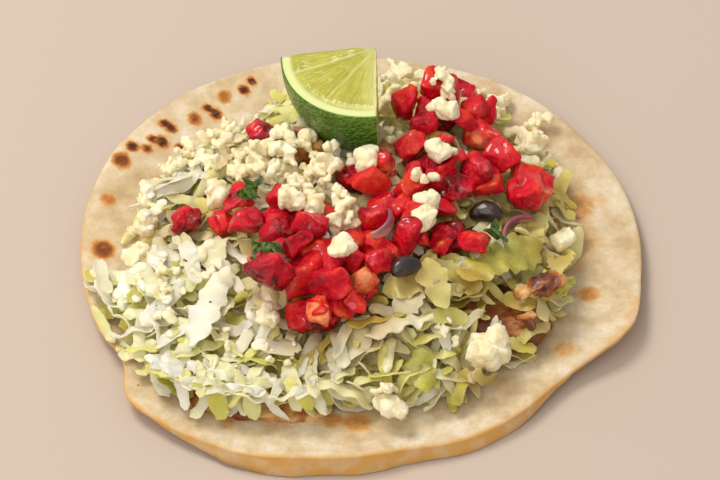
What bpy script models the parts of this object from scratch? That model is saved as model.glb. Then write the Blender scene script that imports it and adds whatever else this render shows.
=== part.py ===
"""An open taco: a soft flour tortilla that carries two strips of fried fish under a heap of
shredded lettuce, with diced tomato, red onion, black beans, lumps of crumbled cheese, a
flake of fish and a wedge of lime on top.

Run it with blender --background --python part.py. Lengths are in metres and +Z is up. The
origin is on the surface that the taco rests on, under the middle of its outline. Every
piece of food is one closed solid.
"""

import math
import random

import bmesh
import bpy
from mathutils import Euler, Matrix, Vector, noise
from mathutils.bvhtree import BVHTree

GAP = 0.0004  # left between pieces that touch

TORTILLA_RADIUS = 0.0736
TORTILLA_THICKNESS = 0.0024
TORTILLA_FLAT_RADIUS = 0.043  # the middle rests flat, and the rest curls up
EDGE_LIFT = 0.0026
# Where the edge curls up or reaches out further: direction in degrees, amount, spread in degrees.
EDGE_CURLS = (
    (132, 0.0052, 38),
    (62, 0.0012, 25),
    (-22, 0.0036, 13),
    (-35, -0.0012, 8),
    (-55, 0.0004, 14),
    (-97, 0.0018, 22),
    (-136, 0.0010, 18),
)
EDGE_BULGES = (
    (122, -0.0013, 18),
    (-20, 0.0035, 9),
    (-38, -0.0036, 13),
    (-72, -0.0070, 42),
    (-134, 0.0034, 13),
    (-165, -0.0016, 20),
)

HEAP_CENTRE = Vector((-0.004, 0.0005))
HEAP_RADIUS = 0.0585
HEAP_HEIGHT = 0.0178
HEAP_LUMP = 0.0042  # how far the lettuce's lumps stand out
HEAP_LUMP_SPACING = 0.0125
HEAP_BULGES = (
    (50, 0.0055, 30),
    (128, -0.0046, 24),
    (180, 0.0040, 24),
    (204, 0.0046, 14),
    (-98, -0.0014, 26),
    (-54, -0.0034, 14),
    (-22, -0.0070, 15),
)
HEAP_EDGE_POWER = 2.8  # the larger it is, the steeper the heap's edge
HEAP_EDGE_SLOPES = ((188, -1.1, 42), (-100, -0.5, 40))  # gentler to the left and the front
LIME_HOLLOW = (0.0015, 0.0345)  # where the lime's end sits in the lettuce
LIME_HOLLOW_DEPTH = 0.0078
LIME_HOLLOW_SPREAD = 0.0100

FISH_STRIPS = (  # centre x, centre y, length, width, height, turn in degrees
    (0.011, -0.0190, 0.088, 0.0205, 0.0110, -8),
    (-0.023, -0.0480, 0.047, 0.0130, 0.0064, -4),
)
FISH_FLAKE = (-0.0165, 0.0235, 0.016, 0.0100, 0.0070, -28)
CRUST_DEPTH = 0.0009

LIME_RADIUS = 0.0250
LIME_HALF_LENGTH = 0.0285
LIME_PLACE = (0.0042, 0.0392)  # the middle of the lime that the wedge was cut from
LIME_LEAN = math.radians(-8)

# Pieces on the lettuce, in the order they fell: x, y, size.
TOMATO_DICE = (
    (0.0260, 0.0497, 0.0076),
    (0.0201, 0.0342, 0.0104),
    (0.0312, 0.0309, 0.0100),
    (0.0300, 0.0153, 0.0100),
    (0.0418, 0.0113, 0.0119),
    (0.0206, 0.0140, 0.0090),
    (0.0240, 0.0089, 0.0081),
    (0.0226, -0.0075, 0.0095),
    (0.0080, -0.0022, 0.0090),
    (0.0038, -0.0155, 0.0100),
    (-0.0022, -0.0267, 0.0085),
    (-0.0088, -0.0231, 0.0109),
    (-0.0124, -0.0325, 0.0104),
    (-0.0188, -0.0243, 0.0081),
    (-0.0205, -0.0068, 0.0090),
    (-0.0104, -0.0371, 0.0066),
    (-0.0448, 0.0015, 0.0071),
    (-0.0351, 0.0002, 0.0076),
    (-0.0310, 0.0034, 0.0066),
    (-0.0249, 0.0246, 0.0062),
    (-0.0019, 0.0114, 0.0085),
)
BLACK_BEANS = (
    (0.0306, 0.0034, 0.0095),
    (0.0086, -0.0213, 0.0090),
)
ONION_SLICES = (
    (0.0384, 0.0012, 0.0114),
    (0.0071, -0.0134, 0.0100),
)
CHEESE_LUMPS = (
    (-0.0174, -0.0051, 0.0095),
    (-0.0182, 0.0141, 0.0085),
    (-0.0248, 0.0156, 0.0085),
    (-0.0362, 0.0339, 0.0076),
    (-0.0359, 0.0092, 0.0081),
    (-0.0070, 0.0088, 0.0081),
    (0.0018, 0.0089, 0.0081),
    (-0.0020, 0.0025, 0.0090),
    (-0.0040, -0.0068, 0.0090),
    (-0.0052, -0.0234, 0.0081),
    (0.0141, -0.0013, 0.0090),
    (0.0159, -0.0072, 0.0076),
    (0.0221, 0.0307, 0.0076),
    (0.0211, 0.0161, 0.0085),
    (0.0438, 0.0368, 0.0095),
    (0.0327, 0.0495, 0.0081),
    (0.0158, 0.0613, 0.0076),
    (0.0319, -0.0366, 0.0123),
    (0.0079, -0.0553, 0.0090),
    (-0.0205, -0.0356, 0.0076),
    (0.0491, 0.0023, 0.0071),
    (-0.0567, -0.0059, 0.0081),
    (-0.0547, 0.0042, 0.0071),
)
TOMATO_UNEVEN = 0.11
TOMATO_BEVEL = 0.17  # of its edge
TOMATO_SKIN_BOW = 0.12
CHEESE_COARSE = 0.34
CHEESE_FINE = 0.14
BEAN_WIDTH, BEAN_HEIGHT, BEAN_BEND = 0.64, 0.58, 0.56
ONION_THICKNESS = 0.0016
ONION_WIDTH = 0.0042
ONION_SPREAD = math.radians(150)
ONION_SPREAD_STEP = math.radians(14)
SETTLING_TRIES = 60  # the ways each piece may turn and shift, of which the best is kept
SETTLING_SHIFT = 0.0035
SETTLING_PRICE = 0.7  # how much lower a piece must lie for every metre that it shifts


def material(name, colour, roughness):
    """A plain Principled finish, named after the food."""
    made = bpy.data.materials.new(name)
    made.use_nodes = True
    shader = made.node_tree.nodes["Principled BSDF"]
    shader.inputs["Base Color"].default_value = (*colour, 1.0)
    shader.inputs["Roughness"].default_value = roughness
    shader.inputs["Metallic"].default_value = 0.0
    return made


def add_object(name, shape, finish):
    """Turns a bmesh into a named object of the scene, with its faces pointing out."""
    bmesh.ops.recalc_face_normals(shape, faces=shape.faces)
    mesh = bpy.data.meshes.new(name)
    shape.to_mesh(mesh)
    shape.free()
    mesh.materials.append(finish)
    mesh.shade_smooth()
    made = bpy.data.objects.new(name, mesh)
    bpy.context.scene.collection.objects.link(made)
    return made


def bumps(angle, places):
    """The sum of smooth bumps round a rim, each a direction, an amount and a spread."""
    total = 0.0
    for direction, amount, spread in places:
        away = math.remainder(angle - math.radians(direction), math.tau)
        total += amount * math.exp(-((away / math.radians(spread)) ** 2))
    return total


def tortilla_reach(angle):
    """The tortilla's radius in that direction."""
    return TORTILLA_RADIUS + 0.0006 * math.sin(3 * angle) + bumps(angle, EDGE_BULGES)


def tortilla_underside(x, y):
    """Height of the tortilla's underside: flat in the middle, curling up to its edge."""
    away = math.hypot(x, y)
    if away <= TORTILLA_FLAT_RADIUS:
        return 0.0
    angle = math.atan2(y, x)
    share = (away - TORTILLA_FLAT_RADIUS) / (tortilla_reach(angle) - TORTILLA_FLAT_RADIUS)
    ripple = 0.0003 * math.sin(7 * angle + 1.0)
    return (EDGE_LIFT + bumps(angle, EDGE_CURLS) + ripple) * share**1.8


def tortilla_top(x, y):
    """Height of the tortilla's upper face."""
    return tortilla_underside(x, y) + TORTILLA_THICKNESS


def heap_reach(angle):
    """The lettuce heap's radius in that direction."""
    uneven = 0.0011 * math.sin(5 * angle + 0.8) + 0.0008 * math.sin(9 * angle)
    return HEAP_RADIUS + uneven + bumps(angle, HEAP_BULGES)


def heap_floor(x, y):
    """Height of the heap's underside, which lies on the tortilla."""
    return tortilla_top(x, y) + GAP


def heap_top(x, y):
    """Height of the heap's uneven upper face."""
    out = Vector((x, y)) - HEAP_CENTRE
    angle = math.atan2(out.y, out.x)
    share = min(1.0, out.length / heap_reach(angle))
    dome = (1.0 - share ** (HEAP_EDGE_POWER + bumps(angle, HEAP_EDGE_SLOPES))) ** 0.74
    uneven = noise.noise(Vector((x, y, 0.0)) / HEAP_LUMP_SPACING) * HEAP_LUMP * dome
    from_lime = (Vector((x, y)) - Vector(LIME_HOLLOW)).length
    hollow = LIME_HOLLOW_DEPTH * math.exp(-((from_lime / LIME_HOLLOW_SPREAD) ** 2))
    return heap_floor(x, y) + max(0.0008, HEAP_HEIGHT * dome + uneven - hollow)


def layer(name, finish, centre, reach, underside, upper, rings, segments, rim):
    """A closed solid between two height functions, out to a rim whose radius varies."""
    shape = bmesh.new()

    def ring(share, height):
        made = []
        for step in range(segments):
            angle = math.tau * step / segments
            x = centre.x + share * reach(angle) * math.cos(angle)
            y = centre.y + share * reach(angle) * math.sin(angle)
            made.append(shape.verts.new((x, y, height(x, y))))
        return made

    def rim_height(x, y):
        return (underside(x, y) + upper(x, y)) / 2

    shares = [(step + 1) / rings for step in range(rings - 1)] + [1.0 - rim]
    loops = [ring(share, underside) for share in shares]
    loops.append(ring(1.0, rim_height))
    loops += [ring(share, upper) for share in reversed(shares)]
    for inner, outer in zip(loops, loops[1:]):
        for step in range(segments):
            after = (step + 1) % segments
            shape.faces.new((inner[step], inner[after], outer[after], outer[step]))
    for loop, height in ((loops[0], underside), (loops[-1], upper)):
        middle = shape.verts.new((*centre, height(*centre)))
        for step in range(segments):
            shape.faces.new((loop[step], loop[(step + 1) % segments], middle))
    return add_object(name, shape, finish)


def lump(length, width, height, boxiness, relief, grain, seed, columns=16, rows=10):
    """A rounded lump: a ball pushed towards a box, with an uneven crust."""
    shape = bmesh.new()
    bmesh.ops.create_uvsphere(shape, u_segments=columns, v_segments=rows, radius=1.0)
    half = Vector((length, width, height)) / 2
    for vert in shape.verts:
        fold = [math.copysign(abs(value) ** boxiness, value) for value in vert.co]
        place = Vector(value * size for value, size in zip(fold, half))
        bump = noise.noise(place / grain + Vector((seed * 7.3, seed * 3.1, seed)))
        vert.co = place + vert.co.normalized() * bump * relief
    return shape


def fish_strip(name, finish, place, seed):
    """A strip of battered fish that lies on the tortilla and bends with it."""
    x, y, length, width, height, turn = place
    shape = lump(length, width, height, 0.72, CRUST_DEPTH, 0.009, seed, columns=22, rows=11)
    lowest = -0.34 * height  # the batter is flat where the strip lies
    for vert in shape.verts:
        vert.co.z = max(vert.co.z, lowest) - lowest
    shape.transform(Matrix.Translation((x, y, 0.0)) @ Matrix.Rotation(math.radians(turn), 4, "Z"))
    for vert in shape.verts:
        vert.co.z += tortilla_top(vert.co.x, vert.co.y) + GAP
    return add_object(name, shape, finish)


def cutter(source):
    """A hidden copy of a piece, larger by the gap all round, that clears its space."""
    shape = bmesh.new()
    shape.from_mesh(source.data)
    shape.normal_update()
    swollen = [vert.co + vert.normal * GAP * 1.5 for vert in shape.verts]
    for vert, place in zip(shape.verts, swollen):
        vert.co = place
    made = add_object(source.name + "_space", shape, source.data.materials[0])
    made.hide_render = True
    made.display_type = "WIRE"
    return made


def cut_away(target, tool):
    """Takes the tool's space out of the target."""
    cut = target.modifiers.new("clear_" + tool.name, "BOOLEAN")
    cut.operation = "DIFFERENCE"
    cut.solver = "EXACT"
    cut.object = tool


def tomato_die(size, seed):
    """A diced piece of tomato: a soft-edged block, with one side bowed like the skin."""
    chance = random.Random(seed)
    shape = bmesh.new()
    bmesh.ops.create_cube(shape, size=1.0)
    for vert in shape.verts:
        vert.co *= 1.0 + chance.uniform(-TOMATO_UNEVEN, TOMATO_UNEVEN)
    bmesh.ops.bevel(
        shape, geom=shape.edges[:], offset=TOMATO_BEVEL, segments=2, profile=0.6, affect="EDGES"
    )
    long_side = chance.uniform(0.95, 1.15)
    flat_side = chance.uniform(0.62, 0.82)
    for vert in shape.verts:
        skin = TOMATO_SKIN_BOW * (1.0 - 3.0 * vert.co.y**2) if vert.co.x > 0 else 0.0
        x, y, z = vert.co
        vert.co = Vector(((x + skin) * long_side, y, z * flat_side)) * size
    return shape


def cheese_lump(size, seed):
    """A lump of crumbled cheese, rough and broken all round."""
    shape = bmesh.new()
    bmesh.ops.create_icosphere(shape, subdivisions=2, radius=size / 2)
    shift = Vector((seed * 5.7, seed * 2.9, seed * 1.3))
    for vert in shape.verts:
        coarse = noise.noise(vert.co / (size * 0.42) + shift)
        fine = noise.noise(vert.co / (size * 0.2) - shift)
        vert.co *= 1.0 + CHEESE_COARSE * coarse + CHEESE_FINE * fine
        vert.co.z *= 0.8
    bmesh.ops.dissolve_limit(
        shape, angle_limit=math.radians(12), verts=shape.verts, edges=shape.edges
    )
    bmesh.ops.triangulate(shape, faces=shape.faces)
    return shape


def black_bean(size, seed):
    """A cooked bean, longer than wide, with a slight hollow along one side."""
    width, height = BEAN_WIDTH * size, BEAN_HEIGHT * size
    shape = lump(size, width, height, 1.0, 0.0, 1.0, seed, columns=12, rows=8)
    for vert in shape.verts:
        vert.co.y += BEAN_BEND / size * vert.co.x**2
    return shape


def onion_slice(size, seed):
    """A curved slice cut from one layer of a red onion, thinner towards its ends."""
    spread = ONION_SPREAD - seed * ONION_SPREAD_STEP
    steps = 10
    shape = bmesh.new()
    loops = []
    for step in range(steps + 1):
        share = 2 * step / steps - 1
        angle = spread / 2 * share
        taper = 1.0 - 0.45 * share**2
        out = Vector((math.cos(angle), math.sin(angle), 0.0))
        up = Vector((0.0, 0.0, 1.0))
        corners = ((-1, -1), (1, -1), (1.25, 0), (1, 1), (-1, 1), (-0.75, 0))
        middle = out * size / 2
        loops.append([
            shape.verts.new(middle + (out * a * ONION_THICKNESS + up * b * ONION_WIDTH) / 2 * taper)
            for a, b in corners
        ])
    count = len(loops[0])
    for near, far in zip(loops, loops[1:]):
        for side in range(count):
            after = (side + 1) % count
            shape.faces.new((near[side], near[after], far[after], far[side]))
    shape.faces.new(loops[0])
    shape.faces.new(loops[-1])
    bmesh.ops.translate(shape, verts=shape.verts, vec=(-size / 2, 0.0, 0.0))
    return shape


def lime_wedge():
    """An eighth of a lime: half of the fruit across, cut in quarters, cut side up."""
    shape = bmesh.new()
    bmesh.ops.create_uvsphere(shape, u_segments=40, v_segments=24, radius=1.0)
    for vert in shape.verts:
        tip = 0.04 * max(0.0, -vert.co.z - 0.9) / 0.1
        vert.co = Vector((
            vert.co.x * LIME_RADIUS,
            vert.co.y * LIME_RADIUS,
            vert.co.z * LIME_HALF_LENGTH * (1.0 + tip),
        ))
    for normal in ((0, 0, 1), (1, 0, 0), (0, 1, 0)):
        everything = shape.verts[:] + shape.edges[:] + shape.faces[:]
        cut = bmesh.ops.bisect_plane(
            shape, geom=everything, plane_co=(0, 0, 0), plane_no=normal, clear_outer=True
        )
        rim = [item for item in cut["geom_cut"] if isinstance(item, bmesh.types.BMEdge)]
        bmesh.ops.holes_fill(shape, edges=rim)
    return shape


class Pile:
    """What is on the plate so far. New pieces are lowered until they rest on it."""

    STEP = 0.0002
    START = 0.060

    def __init__(self, objects):
        self.points = []
        self.faces = []
        for item in objects:
            self.add(item)

    def add(self, item):
        graph = bpy.context.evaluated_depsgraph_get()
        evaluated = item.evaluated_get(graph)
        mesh = evaluated.to_mesh()
        first = len(self.points)
        self.points += [item.matrix_world @ vert.co for vert in mesh.vertices]
        self.faces += [[first + i for i in face.vertices] for face in mesh.polygons]
        self.tree = BVHTree.FromPolygons(self.points, self.faces)
        evaluated.to_mesh_clear()

    def resting_height(self, points, faces, place):
        """The lowest height at which the points, at that place, are clear of the pile."""

        def clear(height):
            at = Vector((*place, height))
            tree = BVHTree.FromPolygons([point + at for point in points], faces)
            return not tree.overlap(self.tree)

        height = self.START
        for step in (16 * self.STEP, 4 * self.STEP, self.STEP):
            while clear(height - step):
                height -= step
        return height

    def rest(self, name, finish, shape, ways):
        """Makes an object of the shape, lowered in whichever way lies low and near.

        A way is a turn, a place and the shift to it from the place that was asked for.
        The object stands a gap clear of the pile.
        """
        bmesh.ops.recalc_face_normals(shape, faces=shape.faces)
        shape.normal_update()
        faces = [[vert.index for vert in face.verts] for face in shape.faces]
        swollen = [vert.co + vert.normal * GAP for vert in shape.verts]
        found = []
        for turn, place, shift in ways:
            points = [turn.to_matrix() @ point for point in swollen]
            height = self.resting_height(points, faces, place)
            found.append((height + SETTLING_PRICE * shift, height, turn, place))
        _, height, turn, place = min(found, key=lambda way: way[0])
        made = add_object(name, shape, finish)
        made.rotation_euler = turn
        made.location = (*place, height)
        bpy.context.view_layer.update()
        self.add(made)


def scatter(pile, kind, finish, build, places, tilt, seed):
    """One object for each place in the list, in order, each settled on the pile."""
    chance = random.Random(seed)

    def way(x, y):
        turn = Euler((
            math.radians(chance.uniform(-tilt, tilt)),
            math.radians(chance.uniform(-tilt, tilt)),
            chance.uniform(0.0, math.tau),
        ))
        shift = chance.uniform(0.0, SETTLING_SHIFT)
        towards = chance.uniform(0.0, math.tau)
        return turn, (x + shift * math.cos(towards), y + shift * math.sin(towards)), shift

    for number, (x, y, size) in enumerate(places, start=1):
        ways = [way(x, y) for _ in range(SETTLING_TRIES)]
        pile.rest(f"{kind}_{number:02d}", finish, build(size, number), ways)


def centre_on_origin():
    """Moves everything so that the middle of the outline is over the origin."""
    bpy.context.view_layer.update()
    shown = [item for item in bpy.context.scene.objects if not item.hide_render]
    corners = [item.matrix_world @ Vector(corner) for item in shown for corner in item.bound_box]
    for axis in (0, 1):
        values = [corner[axis] for corner in corners]
        shift = -(min(values) + max(values)) / 2
        for item in bpy.context.scene.objects:
            item.location[axis] += shift


def main():
    for item in list(bpy.data.objects):
        bpy.data.objects.remove(item, do_unlink=True)

    bread = material("flour_tortilla", (0.82, 0.70, 0.50), 0.75)
    batter = material("fried_fish", (0.55, 0.30, 0.11), 0.55)
    leaf = material("lettuce", (0.68, 0.72, 0.40), 0.45)
    flesh = material("tomato", (0.72, 0.07, 0.05), 0.25)
    curd = material("cheese", (0.87, 0.80, 0.64), 0.7)
    skin = material("black_bean", (0.03, 0.02, 0.02), 0.25)
    bulb = material("red_onion", (0.60, 0.28, 0.38), 0.35)
    fruit = material("lime", (0.55, 0.62, 0.18), 0.35)

    tortilla = layer(
        "tortilla", bread, Vector((0.0, 0.0)), tortilla_reach,
        tortilla_underside, tortilla_top, rings=9, segments=60, rim=0.012,
    )
    fish = [
        fish_strip(f"fish_strip_{number}", batter, place, number)
        for number, place in enumerate(FISH_STRIPS, start=1)
    ]
    heap = layer(
        "lettuce_heap", leaf, HEAP_CENTRE, heap_reach,
        heap_floor, heap_top, rings=9, segments=52, rim=0.03,
    )
    for strip in fish:
        cut_away(heap, cutter(strip))

    bpy.context.view_layer.update()
    pile = Pile([tortilla, heap, *fish])
    x, y, length, width, height, turn = FISH_FLAKE
    flake = lump(length, width, height, 0.8, CRUST_DEPTH, 0.006, 5, columns=12, rows=8)
    lean = Euler((0.1, -0.15, math.radians(turn)))
    pile.rest("fish_flake", batter, flake, [(lean, (x, y), 0.0)])
    lean = Euler((0.0, LIME_LEAN, 0.0))
    pile.rest("lime_wedge", fruit, lime_wedge(), [(lean, LIME_PLACE, 0.0)])
    scatter(pile, "tomato", flesh, tomato_die, TOMATO_DICE, 24, 11)
    scatter(pile, "black_bean", skin, black_bean, BLACK_BEANS, 12, 3)
    scatter(pile, "red_onion", bulb, onion_slice, ONION_SLICES, 14, 8)
    scatter(pile, "cheese", curd, cheese_lump, CHEESE_LUMPS, 40, 23)
    centre_on_origin()


main()
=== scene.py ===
import math
import random

import bmesh
import bpy
import numpy as np
from mathutils import Matrix, Vector, noise
from mathutils.bvhtree import BVHTree


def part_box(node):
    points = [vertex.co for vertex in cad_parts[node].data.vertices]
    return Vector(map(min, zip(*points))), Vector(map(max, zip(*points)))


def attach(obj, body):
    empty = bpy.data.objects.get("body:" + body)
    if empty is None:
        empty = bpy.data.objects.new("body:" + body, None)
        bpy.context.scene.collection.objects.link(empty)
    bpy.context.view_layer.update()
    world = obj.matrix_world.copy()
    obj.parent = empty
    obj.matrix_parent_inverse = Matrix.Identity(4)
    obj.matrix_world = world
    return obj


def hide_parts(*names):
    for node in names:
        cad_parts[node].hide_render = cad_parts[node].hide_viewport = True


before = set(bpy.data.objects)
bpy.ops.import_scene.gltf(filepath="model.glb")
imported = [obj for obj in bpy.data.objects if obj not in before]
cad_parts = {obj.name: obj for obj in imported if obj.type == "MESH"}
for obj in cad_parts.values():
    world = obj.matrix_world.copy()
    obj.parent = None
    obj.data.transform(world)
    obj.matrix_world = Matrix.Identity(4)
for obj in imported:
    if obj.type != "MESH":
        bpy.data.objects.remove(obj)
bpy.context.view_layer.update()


# ---------------------------------------------------------------- tortilla
# A soft round of wheat dough, pressed thin and baked on a hot plate, which blisters it and
# browns the blisters. It lies under everything else, with its edge curled up.


class Value:
    """A number inside a finish. Sums on it add the Math nodes that work them out."""

    def __init__(self, finish, socket):
        self.finish, self.socket = finish, socket

    def maths(self, operation, first, second=0.0):
        return self.finish.node("Math", {"operation": operation}, {0: first, 1: second})

    def __add__(self, other):
        return self.maths("ADD", self, other)

    def __sub__(self, other):
        return self.maths("SUBTRACT", self, other)

    def __rsub__(self, other):
        return self.maths("SUBTRACT", other, self)

    def __mul__(self, other):
        return self.maths("MULTIPLY", self, other)

    __radd__ = __add__
    __rmul__ = __mul__

    def between(self, low, high):
        """0 below low, 1 above high, and an even slope in between; low may be the larger."""
        return self.finish.node(
            "MapRange", {"interpolation_type": "SMOOTHSTEP"}, {0: self, 1: low, 2: high})


def paint(red, green, blue):
    """A colour as seen on a screen, from 0 to 255, as the light that it reflects."""
    return tuple(((part / 255 + 0.055) / 1.055) ** 2.4 for part in (red, green, blue))


class Finish:
    """The look of one kind of food: a Principled shader and the nodes that feed it."""

    def __init__(self, name, soft=None, **uniform):
        """soft is how much light passes in: its weight, its reach by colour, and its depth."""
        self.material = bpy.data.materials.new(name)
        self.material.use_nodes = True
        self.tree = self.material.node_tree
        self.shader = self.tree.nodes["Principled BSDF"]
        for part, value in zip(("weight", "radius", "scale"), soft or ()):
            uniform["subsurface_" + part] = value
        for key, value in uniform.items():
            socket = key.replace("_", " ").title().replace("Ior", "IOR")
            self.shader.inputs[socket].default_value = value
        self.place = self.node("TexCoord", output="Object")

    def node(self, kind, settings=None, sockets=None, output=0):
        made = self.tree.nodes.new("ShaderNode" + kind)
        for key, value in (settings or {}).items():
            if key == "stops":
                marks = made.color_ramp.elements
                while len(marks) < len(value):
                    marks.new(0.5)
                for mark, (position, *colour) in zip(marks, value):
                    mark.position, mark.color = position, (*paint(*colour), 1.0)
            else:
                setattr(made, key, value)
        for key, value in (sockets or {}).items():
            self.feed(made.inputs[key], value)
        return Value(self, made.outputs[output])

    def feed(self, socket, value):
        if isinstance(value, Value):
            self.tree.links.new(value.socket, socket)
        elif socket.type == "RGBA":
            socket.default_value = (*value, 1.0)
        else:
            socket.default_value = value

    def grain(self, size, detail=2.0, roughness=0.5, at=None):
        """Cloudy noise from 0 to 1, in patches of that size."""
        sockets = {"Scale": 1.0 / size, "Detail": detail, "Roughness": roughness}
        return self.node("TexNoise", {}, {"Vector": at or self.place, **sockets})

    def cells(self, size, feature="F1", at=None, randomness=1.0):
        """Distance from the middle of the nearest cell, or from its wall."""
        sockets = {"Vector": at or self.place, "Scale": 1.0 / size, "Randomness": randomness}
        return self.node("TexVoronoi", {"feature": feature}, sockets, "Distance")

    def painted(self, name, output="Fac"):
        """A value that was stored on the mesh's points."""
        return self.node("Attribute", {"attribute_name": name}, {}, output)

    def ramp(self, value, stops):
        return self.node("ValToRGB", {"stops": stops}, {0: value})

    def mix(self, factor, first, second, way="MIX"):
        """The first colour where the factor is 0, the second where it is 1."""
        settings = {"data_type": "RGBA", "blend_type": way}
        return self.node("Mix", settings, {0: factor, 6: first, 7: second}, 2)

    def set(self, **feeds):
        """Feeds the shader: colour, roughness, coat, or relief with its depth in metres."""
        names = {"colour": "Base Color", "roughness": "Roughness", "coat": "Coat Weight"}
        for key, value in feeds.items():
            if key == "relief":
                height, depth = value
                bump = self.node("Bump", {}, {"Height": height, "Distance": depth}, "Normal")
                self.feed(self.shader.inputs["Normal"], bump)
            else:
                self.feed(self.shader.inputs[names[key]], value)


def metres(table, lengths=3):
    """A table's rows, with so many of their first numbers turned from mm to metres."""
    return [(*(round(part / 1000, 7) for part in row[:lengths]), *row[lengths:])
            for row in table]


def points_of(mesh, kind="co"):
    """The mesh's points as rows of an array."""
    flat = np.empty(len(mesh.vertices) * 3)
    mesh.vertices.foreach_get(kind, flat)
    return flat.reshape(-1, 3)


def normals_of(mesh):
    """The outward direction at each of the mesh's points."""
    return points_of(mesh, "normal")


def move_points(mesh, points):
    mesh.vertices.foreach_set("co", np.asarray(points, dtype=float).ravel())
    mesh.update()


def uneven(points, size, shift=0.0):
    """Smooth noise between about -1 and 1 at each point, in lumps of that size."""
    away = Vector((shift * 3.7, shift * 1.9, shift))
    return np.array([noise.noise(Vector(point) / size + away) for point in points])


def clipped(share):
    return np.clip(share, 0.0, 1.0)


def eased(share):
    """0 up to 0, 1 from 1, and a soft slope in between."""
    share = clipped(share)
    return share * share * (3.0 - 2.0 * share)


def roughen(mesh, height, size, shift=0.0):
    """Raises and sinks a surface along its normals, in lumps of that size."""
    points = points_of(mesh)
    rise = height * uneven(points, size, shift)
    move_points(mesh, points + normals_of(mesh) * rise[:, None])


def baked(mesh, modifiers):
    """A copy of the mesh with modifiers applied: a list of a type and its settings."""
    maker = bpy.data.objects.new(mesh.name + "_raw", mesh)
    bpy.context.scene.collection.objects.link(maker)
    for kind, settings in modifiers:
        modifier = maker.modifiers.new(kind.lower(), kind)
        for key, value in settings.items():
            setattr(modifier, key, value)
    seen = maker.evaluated_get(bpy.context.evaluated_depsgraph_get())
    made = bpy.data.meshes.new_from_object(seen)
    bpy.data.objects.remove(maker)
    return made


def meshed(shape, name):
    mesh = bpy.data.meshes.new(name)
    shape.to_mesh(mesh)
    shape.free()
    return mesh


def refined(node, levels):
    """The surface of a CAD solid, made smooth with that many rounds of subdivision."""
    shape = bmesh.new()
    shape.from_mesh(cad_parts[node].data)
    bmesh.ops.remove_doubles(shape, verts=shape.verts, dist=1e-6)
    bmesh.ops.join_triangles(
        shape, faces=shape.faces, angle_face_threshold=math.radians(40),
        angle_shape_threshold=math.radians(60))
    mesh = meshed(shape, node + "_fine")
    return baked(mesh, [("SUBSURF", {"levels": levels, "render_levels": levels})])


def store(mesh, name, values):
    """Keeps one number for each point on the mesh, for its finish to read."""
    layer = mesh.attributes.new(name, "FLOAT", "POINT")
    layer.data.foreach_set("value", np.asarray(values, dtype=np.float32))


def serve(name, mesh, finish, slot, *nodes):
    """Puts a finished mesh on the plate as a piece, in place of the CAD nodes it stands for."""
    mesh.materials.clear()
    mesh.materials.append(finish.material)
    mesh.shade_smooth()
    piece = bpy.data.objects.new(name, mesh)
    bpy.context.scene.collection.objects.link(piece)
    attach(piece, "root")
    if nodes:
        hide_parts(*nodes)
    return piece


# Toasted blisters: place, radius and how dark it went, where 1 is scorched. The broad faint
# rows just right of the heap are partly a stain and partly painted shadow that the heap casts
# on the tortilla.
BLISTERS_AND_HEAP_SHADOW = (
    (-29.1, 59.5, 1.3, 1.0), (-31.2, 56.6, 1.5, 0.95), (-40.8, 49.8, 1.3, 0.95),
    (-38.5, 48.4, 1.6, 1.0), (-44, 46.2, 2.1, 0.62), (-36.4, 53.8, 2.2, 0.5),
    (-52, 43.4, 1.4, 1.0), (-50.3, 42.4, 1.5, 0.95), (-52.5, 37.9, 1.8, 1.0),
    (-55.1, 38.2, 1.2, 0.9), (-47.8, 36.8, 1.4, 0.85), (-60.2, 34.9, 1.7, 0.9),
    (-56.4, 35.1, 1.3, 0.85), (-62.9, 30.3, 2.6, 0.72), (-42, 33.6, 3.4, 0.62),
    (-65.9, 17.5, 2.6, 0.4), (-66.8, 1.1, 3.4, 0.68), (-58, -7.5, 3.4, 0.52),
    (53.5, 11, 8.5, 0.21), (54.5, 1, 7.5, 0.19), (-1, -57.5, 4.6, 0.34),
    (-7, -56.6, 3.6, 0.3), (58.7, -14, 3.4, 0.34), (62.2, 19.3, 3.2, 0.18),
    (56.7, 17.2, 6, 0.27), (58.4, 4.4, 5, 0.2), (52, -33, 4, 0.24), (-33, -58, 3, 0.22),
)
SCORCH_HALO = 1.7  # how much wider the tan ring round a scorched blister is
BLISTER_RISE = 0.0004
DOUGH_WAVE, DOUGH_WAVE_SIZE = 0.00042, 0.017
DOUGH_PUFF, DOUGH_PUFF_SIZE = 0.00034, 0.0062
DOUGH_FINE, DOUGH_FINE_SIZE = 0.00008, 0.0020
# In front the soft edge sags to the table and shows its thick baked side: where that starts
# and where it is full, in degrees round the plate, at its left end and at its right end.
SAG_LEFT, SAG_RIGHT = (-137, -108), (-36, -58)
SAG_REACH, SAG_SPREAD = 0.0065, 0.0011  # how far in it sags, and how far out it spreads
# Where the edge reaches out further or less far: bearing, spread in degrees, amount.
EDGE_SHAPES = ((-112, 9, 0.0015), (-80, 7, -0.0012), (-149, 6, -0.0028), (-140, 5, 0.0016))

tortilla_mesh = refined("tortilla", 3)
points = points_of(tortilla_mesh)
normals = normals_of(tortilla_mesh)
faces_up = clipped((normals[:, 2] - 0.3) / 0.4)
puffs = clipped(uneven(points, DOUGH_PUFF_SIZE, 4) - 0.18)
rise = DOUGH_WAVE * uneven(points, DOUGH_WAVE_SIZE, 1) * faces_up
rise += DOUGH_PUFF * puffs * 2.0 + DOUGH_FINE * uneven(points, DOUGH_FINE_SIZE, 2)
toast = np.zeros(len(points))
for x, y, radius, dark in metres(BLISTERS_AND_HEAP_SHADOW, 3):
    away = np.hypot(points[:, 0] - x, points[:, 1] - y) / radius
    rise += BLISTER_RISE * np.exp(-((away / 1.6) ** 2)) * faces_up * min(1.0, radius / 0.0016)
    halo = 0.30 * dark * np.exp(-((away / SCORCH_HALO) ** 2))
    core = dark * np.exp(-((away / 0.92) ** 4))
    toast = np.maximum(toast, np.maximum(halo, core))
points += normals * rise[:, None]
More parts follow.
